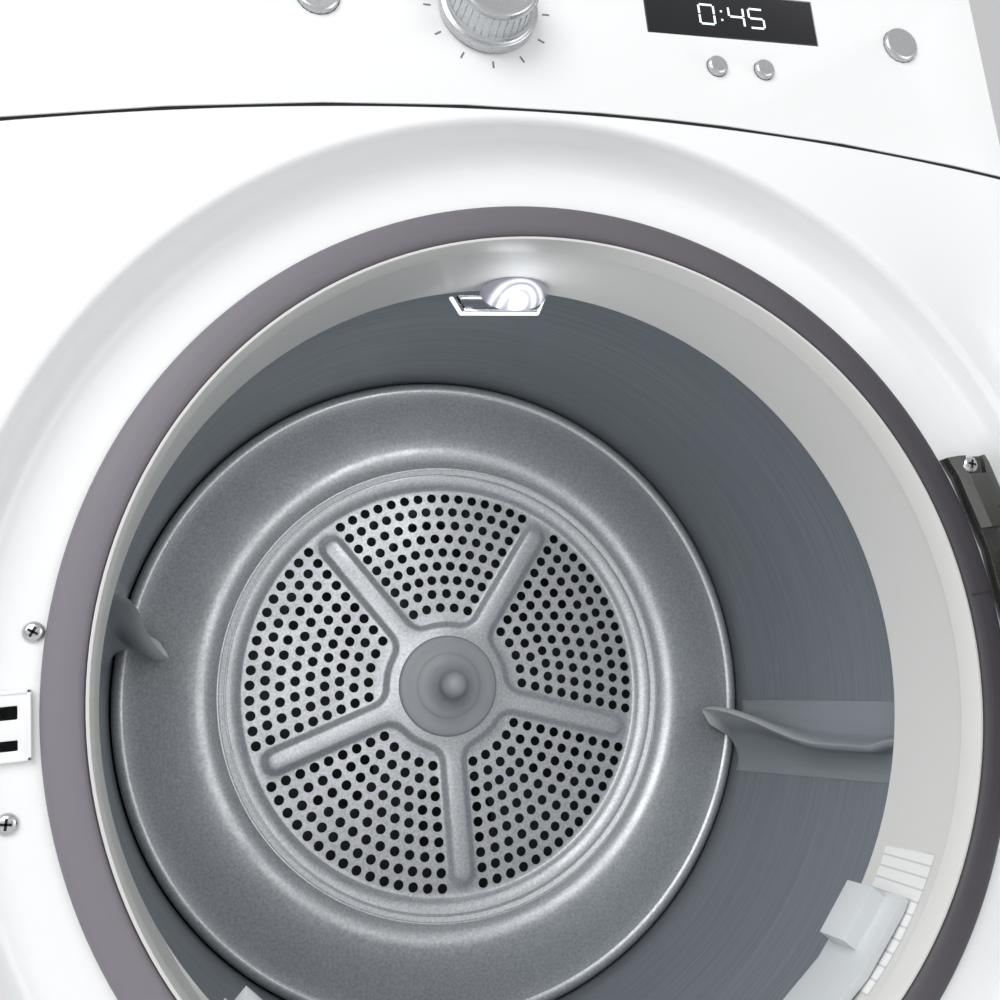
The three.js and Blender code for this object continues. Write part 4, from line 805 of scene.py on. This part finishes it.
# The bulb itself, the glow of its lens, and a small soft light at the mouth that shows the drum's depth.
glow = light("lens_glow", "POINT", (0.006, LENS_REAR - 0.03, LENS_LOW.z - 0.012), 0.025)
glow.shadow_soft_size = 0.012
glow.color = (0.93, 0.96, 1.0)
bulb = Vector((0.0, LENS_REAR + 0.012, LENS_LOW.z - 0.012))
beam = light("drum_lamp", "SPOT", bulb, 0.5, bulb + Vector((0, 1.0, -0.75)))
beam.spot_size = math.radians(165)
beam.spot_blend = 0.8
beam.shadow_soft_size = 0.02
mouth = (-0.09, FRONT + 0.04, AXIS_Z + 0.02)
light("mouth_light", "AREA", mouth, 0.5, (0.2, 0.06, AXIS_Z - 0.1)).size = 0.3


# Front panel: one sheet of steel, pressed with a round dish about the door's mouth and white enamelled.
# Its top edge is a shallow arch, and a narrow shadow gap parts it from the control fascia.
PANEL_LOW, PANEL_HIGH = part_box("front_panel")
SEAM_RADIUS = 1608.0
SEAM_RISE = 293.5
PANEL_HALF = (PANEL_HIGH.x - PANEL_LOW.x) / 2 / MM
PANEL_BASE = (PANEL_LOW.z - AXIS_Z) / MM
DISH_FLOOR, DISH_WIDE, DISH_FLAT, DISH_INNER = 24.0, 290.6, 272.6, 245.6
DISH_STEPS = 180
PANEL_EDGE = [(1.6, 0.0), (0.9, 0.2), (0.35, 0.7), (0.08, 1.4), (0.0, 2.4), (0.0, 24.4)]
STRIKE_LOW, STRIKE_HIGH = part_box("latch_strike")


def panel_outline(inset):
    """The front panel's edge, inset by a distance, as (x, z) about the drum's axis."""
    half, radius = PANEL_HALF - inset, SEAM_RADIUS - inset
    centre = SEAM_RISE - SEAM_RADIUS
    arch = [half - 2 * half * k / 40 for k in range(41)]
    top = [(x, centre + math.sqrt(radius ** 2 - x * x)) for x in arch]
    return [(-half, PANEL_BASE + inset), (half, PANEL_BASE + inset)] + top


bm = bmesh.new()
flat_edges = loop(bm, panel_outline(PANEL_EDGE[0][0]), PANEL_EDGE[0][1])
mouth_edges = loop(bm, circle(DISH_WIDE, DISH_STEPS), 0.0)
filled(bm, flat_edges + mouth_edges)
stepped(bm, flat_edges, panel_outline, PANEL_EDGE[1:])
slot_edges = []
for low, high in ((2.7, 8.5), (-10.4, -6.0)):
    left, right = STRIKE_LOW.x / MM + 3, STRIKE_HIGH.x / MM - 5.5
    slot_edges += loop(bm, [(left, low), (right, low), (right, high), (left, high)], DISH_FLOOR)
filled(bm, loop(bm, circle(DISH_FLAT, DISH_STEPS), DISH_FLOOR)
       + loop(bm, circle(DISH_INNER, DISH_STEPS), DISH_FLOOR) + slot_edges)
cove = [(DISH_WIDE, 0.0), (289.9, 0.06), (288.8, 0.5), (287.7, 1.5), (286.8, 3.0), (286.1, 5.0)]
cove += [(286.1 - 13.5 * (1 - math.cos(math.pi / 2 * k / 12)), 5.0 + 19.0 * math.sin(math.pi / 2 * k / 12))
         for k in range(1, 13)]
panel = together([bm, turned(cove, DISH_STEPS, closed=False)])
bmesh.ops.remove_doubles(panel, verts=panel.verts, dist=0.15 * MM)
PANEL_SHEET = 0.9
make("front_pressing", skin(panel, PANEL_SHEET), white_enamel, "cabinet", "front_panel",
     slot="white_enamel", outward=False)

# A dark strip lies in the seam, just behind the panel's face: painted shade that makes the gap read dark.
SEAM_SHADE_DEPTH = 0.8
SEAM_SHADE_STEPS = 60
seam_shade_finish = finish("seam_painted_shade", tone(24, 24, 25), 0.9, bumps=(900.0, 0.1))
bm = bmesh.new()
half_turn = math.asin((PANEL_HALF - 3) / SEAM_RADIUS)
turns = [math.pi / 2 + half_turn * (1 - 2 * k / SEAM_SHADE_STEPS) for k in range(SEAM_SHADE_STEPS + 1)]
rows = []
for radius in (SEAM_RADIUS - 1.0, SEAM_RADIUS + 3.0):
    rows.append([bm.verts.new((radius * math.cos(t) * MM, FRONT + SEAM_SHADE_DEPTH * MM,
                               AXIS_Z + (SEAM_RISE - SEAM_RADIUS + radius * math.sin(t)) * MM))
                 for t in turns])
for k in range(SEAM_SHADE_STEPS):
    bm.faces.new((rows[0][k], rows[0][k + 1], rows[1][k + 1], rows[1][k]))
make("seam_shade_strip", bm, seam_shade_finish, "cabinet", slot="seal_rubber", outward=False)
make("toe_cover", carried("toe_panel", 1.6, 3), white_enamel, "cabinet", "toe_panel", slot="white_plastic")


# Door seal: a moulded band of violet-grey rubber clipped round the mouth, with its ends butted together
# on the hinge side.
SEAL_JOINT = 4.7
SEAL_NEAR = (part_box("door_seal")[0].y - FRONT) / MM
SEAL = [(250.0, 23.6), (250.0, SEAL_NEAR + 4.6), (248.6, SEAL_NEAR + 2.0), (246.0, SEAL_NEAR + 0.7),
        (241.5, SEAL_NEAR), (236.5, SEAL_NEAR + 0.2), (233.4, SEAL_NEAR + 1.2), (231.8, SEAL_NEAR + 3.0),
        (231.5, SEAL_NEAR + 5.4), (231.5, 34.0), (246.0, 34.0), (246.0, 23.6)]
seal_rubber = finish("seal_rubber", tone(118, 113, 121), 0.5, patches=(22.0, 0.54, 0.68))
raised(seal_rubber, grain(seal_rubber, 480.0, detail=6.0), 0.05)
# The rubber is painted darker from left to right across the mouth, darkest on the hinge side: painted shade.
sideways = seal_rubber.node_tree.nodes.new("ShaderNodeSeparateXYZ")
seal_rubber.node_tree.links.new(place_on(seal_rubber), sideways.inputs["Vector"])
seal_shade_across = seal_rubber.node_tree.nodes.new("ShaderNodeMath")
seal_shade_across.operation = "MULTIPLY_ADD"
seal_shade_across.inputs[1].default_value = 2.0
seal_shade_across.inputs[2].default_value = 0.5
seal_rubber.node_tree.links.new(sideways.outputs["X"], seal_shade_across.inputs[0])
tinted(seal_rubber, seal_shade_across.outputs["Value"], tone(126, 121, 128), tone(68, 65, 71), 0.1, 0.95)
make("mouth_seal", turned(rounded(SEAL, 1.2), 220), seal_rubber, "cabinet", "door_seal", slot="seal_rubber",
     corner=50)
lip_dark = finish("seal_lip_dark", tone(38, 36, 40), 0.7, bumps=(500.0, 0.03))
lip = [(231.1, 33.0), (231.1, 36.7), (234.0, 36.7), (234.0, 34.2), (231.6, 34.2), (231.6, 33.0)]
make("seal_lip", turned(lip, 200), lip_dark, "cabinet", slot="seal_rubber")
joint_shadow = finish("seal_joint_shadow", tone(52, 50, 54), 0.8, bumps=(600.0, 0.05))
joint_parts = []
for radius, depth, length, tilt in ((240.6, SEAL_NEAR - 0.02, 15.6, 0.0),
                                    (248.8, SEAL_NEAR + 2.0, 3.4, 48.0)):
    strip = slab((-length / 2 * MM, -0.00012, -0.00022), (length / 2 * MM, 0.00012, 0.00022))
    moved(spun(strip, tilt, "Z"), (radius * MM, FRONT + depth * MM, AXIS_Z))
    joint_parts.append(spun(strip, -SEAL_JOINT, centre=(0, 0, AXIS_Z)))
make("seal_joint", together(joint_parts), joint_shadow, "cabinet", slot="seal_rubber")


# Latch strike and its screws: a small white moulded plate with a raised rim and two dark slots, which the
# door's hook drops into, held in the dish between two pan-head screws.
white_plastic = finish("white_plastic", tone(240, 241, 241), 0.36,
                       bumps=(800.0, 0.02), patches=(16.0, 0.32, 0.42))
make("strike_plate", carried("latch_strike", 0.5, 2), white_plastic, "cabinet", "latch_strike",
     slot="white_plastic")
STRIKE_FACE = STRIKE_LOW.y
rim_width = 0.0016
RIM_PROUD, RIM_SUNK = 0.0008, 0.0004
rims = []
for low, high in (((STRIKE_LOW.x, STRIKE_HIGH.z - rim_width), (STRIKE_HIGH.x, STRIKE_HIGH.z)),
                  ((STRIKE_LOW.x, STRIKE_LOW.z), (STRIKE_HIGH.x, STRIKE_LOW.z + rim_width)),
                  ((STRIKE_HIGH.x - rim_width, STRIKE_LOW.z), (STRIKE_HIGH.x, STRIKE_HIGH.z)),
                  ((STRIKE_LOW.x, STRIKE_LOW.z), (STRIKE_LOW.x + rim_width, STRIKE_HIGH.z))):
    near_corner = (low[0], STRIKE_FACE - RIM_PROUD, low[1])
    rims.append(slab(near_corner, (high[0], STRIKE_FACE + RIM_SUNK, high[1]), 0.35, 2))
make("strike_rim", together(rims), white_plastic, "cabinet", slot="white_plastic")
screw("strike_screw_upper", -0.2519, AXIS_Z + 0.0396, DISH_FLOOR, roll=32)
screw("strike_screw_lower", -0.2631, AXIS_Z - 0.0401, DISH_FLOOR, roll=8)


# Door hinge: a dark grey painted die casting screwed to the dish floor, with two ears that hold a plated
# pin, and the door's knuckle between them.
hinge_metal = finish("hinge_metal", tone(104, 104, 102), 0.3, 0.8,
                     bumps=(500.0, 0.04), patches=(90.0, 0.24, 0.36))
make("hinge_casting", carried("hinge_bracket", 0.9, 3), hinge_metal, "cabinet", "hinge_bracket",
     slot="hinge_metal")
for name, lift in (("upper", 1), ("lower", -1)):
    screw(f"hinge_screw_{name}", 0.2432, AXIS_Z + lift * 0.0926, 13.4, 4.9, roll=14 * lift)
make("door_knuckle", carried("door_hinge_arm", 1.2, 3), hinge_metal, "door", "door_hinge_arm",
     slot="hinge_metal")


# Control fascia: a white moulding above the arched seam, with a rotary knob, a dark display with plain
# lit digits, four silver keys and a ring of tick marks.
make("fascia", carried("control_fascia", 0.9, 3), white_plastic, "cabinet", "control_fascia",
     slot="white_plastic")
silver = finish("silver_trim", tone(196, 198, 200), 0.3, 0.85)
spread(silver, grain(silver, 500.0, (1, 1, 8)), 0.24, 0.36)
black_gloss = finish("black_gloss", tone(26, 27, 29), 0.12, patches=(10.0, 0.08, 0.16))
make("display_pane", carried("display_window", 0.5, 3), black_gloss, "cabinet", "display_window",
     slot="smoked_window")
(KNOB_X, KNOB_Z), KNOB_RADIUS, KNOB_FACE = round_box("program_knob")[:3]
knob = [(0, KNOB_FACE + 1.4), (14, KNOB_FACE + 1.1), (19.5, KNOB_FACE), (21.5, KNOB_FACE + 0.4),
        (22.6, KNOB_FACE + 2.2), (23.4, -8.0), (24.6, -6.4), (26.6, -6.0), (KNOB_RADIUS, -5.2),
        (KNOB_RADIUS, -0.6), (0, -0.6)]
dial = turned(rounded(knob, 0.9), 96, (KNOB_X, KNOB_Z))
make("dial", dial, silver, "knob", "program_knob", slot="silver_trim")
RIDGES = 36
RIDGE_REACH = 0.0229
ridges = []
for k in range(RIDGES):
    ridge = slab((-0.0004, 0, -0.0006), (0.0004, (-KNOB_FACE - 12) * MM, 0.0006), 0.3, 2)
    moved(ridge, (0, FRONT + (KNOB_FACE + 3.4) * MM, RIDGE_REACH))
    ridges.append(moved(spun(ridge, 360 / RIDGES * k), (KNOB_X, 0, KNOB_Z)))
make("dial_ridges", together(ridges), silver, "knob", slot="silver_trim")
pointer = slab((KNOB_X - 0.0008, FRONT + KNOB_FACE * MM, KNOB_Z + 0.011),
               (KNOB_X + 0.0008, FRONT + (KNOB_FACE + 1.2) * MM, KNOB_Z + 0.019), 0.3, 2)
make("dial_pointer", pointer, black_gloss, "knob", slot="silver_trim")
print_grey = finish("tick_print", tone(120, 122, 125), 0.5, bumps=(800.0, 0.02))
TICKS = 12
TICK_REACH = 0.033
ticks = []
for k in range(TICKS):
    tick = moved(slab((-0.0005, 0, -0.002), (0.0005, 0.0002, 0.002)), (0, FRONT - 0.00015, TICK_REACH))
    ticks.append(moved(spun(tick, 360 / TICKS * k), (KNOB_X, 0, KNOB_Z)))
make("dial_ticks", together(ticks), print_grey, "cabinet", slot="white_plastic")
for node, body in (("power_button", "power_key"), ("start_button", "start_key"),
                   ("option_button_1", "option_key_1"), ("option_button_2", "option_key_2")):
    spot, radius, near, far = round_box(node)
    key = [(0, near + 0.5), (radius - 1.6, near), (radius, near + 0.9), (radius, far), (0, far)]
    make(f"{node}_cap", turned(rounded(key, 0.6), 48, spot), silver, body, node, slot="silver_trim")

lit_digit = finish("lit_digit", tone(225, 235, 240), 0.4,
                   bumps=(700.0, 0.01),
                   more={"Emission Color": (*tone(220, 235, 245), 1.0), "Emission Strength": 0.9})
SEGMENTS = {"0": "abcdef", "4": "bcfg", "5": "acdfg"}
BAR = {"a": (0, 1, 0), "b": (0.5, 0.5, 1), "c": (0.5, -0.5, 1), "d": (0, -1, 0), "e": (-0.5, -0.5, 1),
       "f": (-0.5, 0.5, 1), "g": (0, 0, 0)}
DIGIT_HALF = 0.0062
DISPLAY_LOW, DISPLAY_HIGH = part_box("display_window")
display_x, display_z = (DISPLAY_LOW.x + DISPLAY_HIGH.x) / 2, (DISPLAY_LOW.z + DISPLAY_HIGH.z) / 2
bars = []
for step, digit in ((-0.016, "0"), (0.003, "4"), (0.016, "5")):
    for segment in SEGMENTS[digit]:
        across, up, upright = BAR[segment]
        centre = Vector((display_x + step + across * 2 * DIGIT_HALF * 0.75, DISPLAY_LOW.y,
                         display_z + up * DIGIT_HALF))
        half = Vector((0.0006, 0.00015, 0.0026)) if upright else Vector((0.0040, 0.00015, 0.0006))
        bars.append(slab(centre - half, centre + half))
for up in (-0.0028, 0.0028):
    centre = Vector((display_x - 0.0065, DISPLAY_LOW.y, display_z + up))
    bars.append(slab(centre - Vector((0.0006, 0.00015, 0.0006)), centre + Vector((0.0006, 0.00015, 0.0006))))
make("display_digits", together(bars), lit_digit, "cabinet", slot="smoked_window")


# Door: a white moulded ring round a smoked window, a grey inner frame that carries a blown glass bowl,
# a silver grip on the free side and a steel hook. It is made shut, then swung open on its hinge.
DOOR_RADIUS = 282.0
HINGE_X, HINGE_Y, DOOR_OPEN = 0.268, FRONT - 0.011, 120.0
EAR_ROOM = 51.0


def swung(bm):
    """A door piece turned from shut to open."""
    return spun(bm, DOOR_OPEN, "Z", (HINGE_X, HINGE_Y, 0))


def notched(bm, low, high):
    """Cuts away what lies inside a block, given by two corners in metres."""
    for axis in range(3):
        way = Vector((0, 0, 0))
        way[axis] = 1.0
        for corner in (low, high):
            bmesh.ops.bisect_plane(bm, geom=bm.verts[:] + bm.edges[:] + bm.faces[:], plane_co=corner,
                                   plane_no=way)
    inside = [f for f in bm.faces if all(low[i] < f.calc_center_median()[i] < high[i] for i in range(3))]
    bmesh.ops.delete(bm, geom=inside, context="FACES")


ear_low = Vector((HINGE_X - 0.0122, FRONT - 0.0242, AXIS_Z - EAR_ROOM * MM))
ear_high = Vector((HINGE_X + 0.03, FRONT + 0.005, AXIS_Z + EAR_ROOM * MM))
arch = [(DOOR_RADIUS, -1.8), (DOOR_RADIUS, -17.5), (281.0, -21.2), (278.6, -24.0), (274.6, -26.2),
        (269.0, -27.6), (263.0, -28.0), (250.0, -27.5), (232.0, -26.6), (214.0, -25.6), (204.4, -25.0),
        (201.6, -24.6), (200.2, -23.6), (199.6, -21.8), (199.6, -18.0)]
door_ring = turned(arch, 200, closed=False)
notched(door_ring, ear_low, ear_high)
make("door_outer_ring", swung(skin(door_ring, 2.8, 1)), white_plastic, "door", "door_ring",
     slot="white_plastic", outward=False)
smoked = finish("smoked_window", tone(30, 31, 33), 0.06,
                patches=(8.0, 0.04, 0.09), more={"Transmission Weight": 0.55, "IOR": 1.49})
pane = [(0, -29.0), (60, -28.8), (120, -27.8), (165, -26.2), (190, -24.6), (198.6, -23.6), (199.0, -22.6),
        (198.6, -20.0), (190, -20.9), (165, -22.6), (120, -24.3), (60, -25.3), (0, -25.5)]
make("door_pane", swung(turned(pane, 160)), smoked, "door", "door_window", slot="smoked_window", corner=50)

frame_plastic = finish("frame_plastic", tone(178, 180, 181), 0.42,
                       bumps=(700.0, 0.03), patches=(12.0, 0.38, 0.48))
inner = [(278.4, -1.0), (262.0, -0.8), (251.5, -0.8), (249.6, 0.0), (249.0, 2.0), (248.6, 12.4),
         (247.4, 15.6), (244.6, 17.2), (240.0, 17.4), (232.0, 17.4), (226.4, 16.9), (223.6, 15.2),
         (222.4, 12.4), (222.4, -4.2)]
inner_ring = turned(inner, 200, closed=False)
frame_low = Vector((HINGE_X - 0.0132, FRONT - 0.011, AXIS_Z - EAR_ROOM * MM))
notched(inner_ring, frame_low, ear_high)
make("door_inner_frame", swung(skin(inner_ring, 2.4, -1)), frame_plastic, "door", "door_frame",
     slot="frame_plastic", outward=False)

door_glass = finish("door_glass", tone(236, 241, 242), 0.02,
                    more={"Transmission Weight": 0.92, "IOR": 1.47})
raised(door_glass, grain(door_glass, 14.0, detail=1.0), 0.12)
bowl = [(222.0, -3.8), (222.0, 3.0), (219.6, 6.8), (213.0, 10.4), (206.0, 16.0), (199.6, 24.0), (193.0, 36.0),
        (186.0, 50.0), (178.0, 61.0), (167.0, 69.4), (152.0, 74.6), (128.0, 77.0), (90.0, 77.8), (0, 78.0),
        (0, 73.2), (90.0, 73.0), (126.0, 72.2), (150.0, 69.8), (163.6, 65.2), (173.6, 57.4), (181.0, 47.4),
        (188.0, 33.6), (194.8, 21.0), (202.0, 12.4), (210.0, 6.0), (214.0, 3.0), (214.4, -3.8)]
make("door_glass_bowl", swung(turned(bowl, 160)), door_glass, "door", "door_bowl", slot="door_glass",
     corner=60)
make("door_grip", carried("door_handle", 1.4, 3), silver, "door", "door_handle", slot="silver_trim")
make("door_catch", carried("door_hook", 0.5, 2), plated, "door", "door_hook", slot="plated_steel")
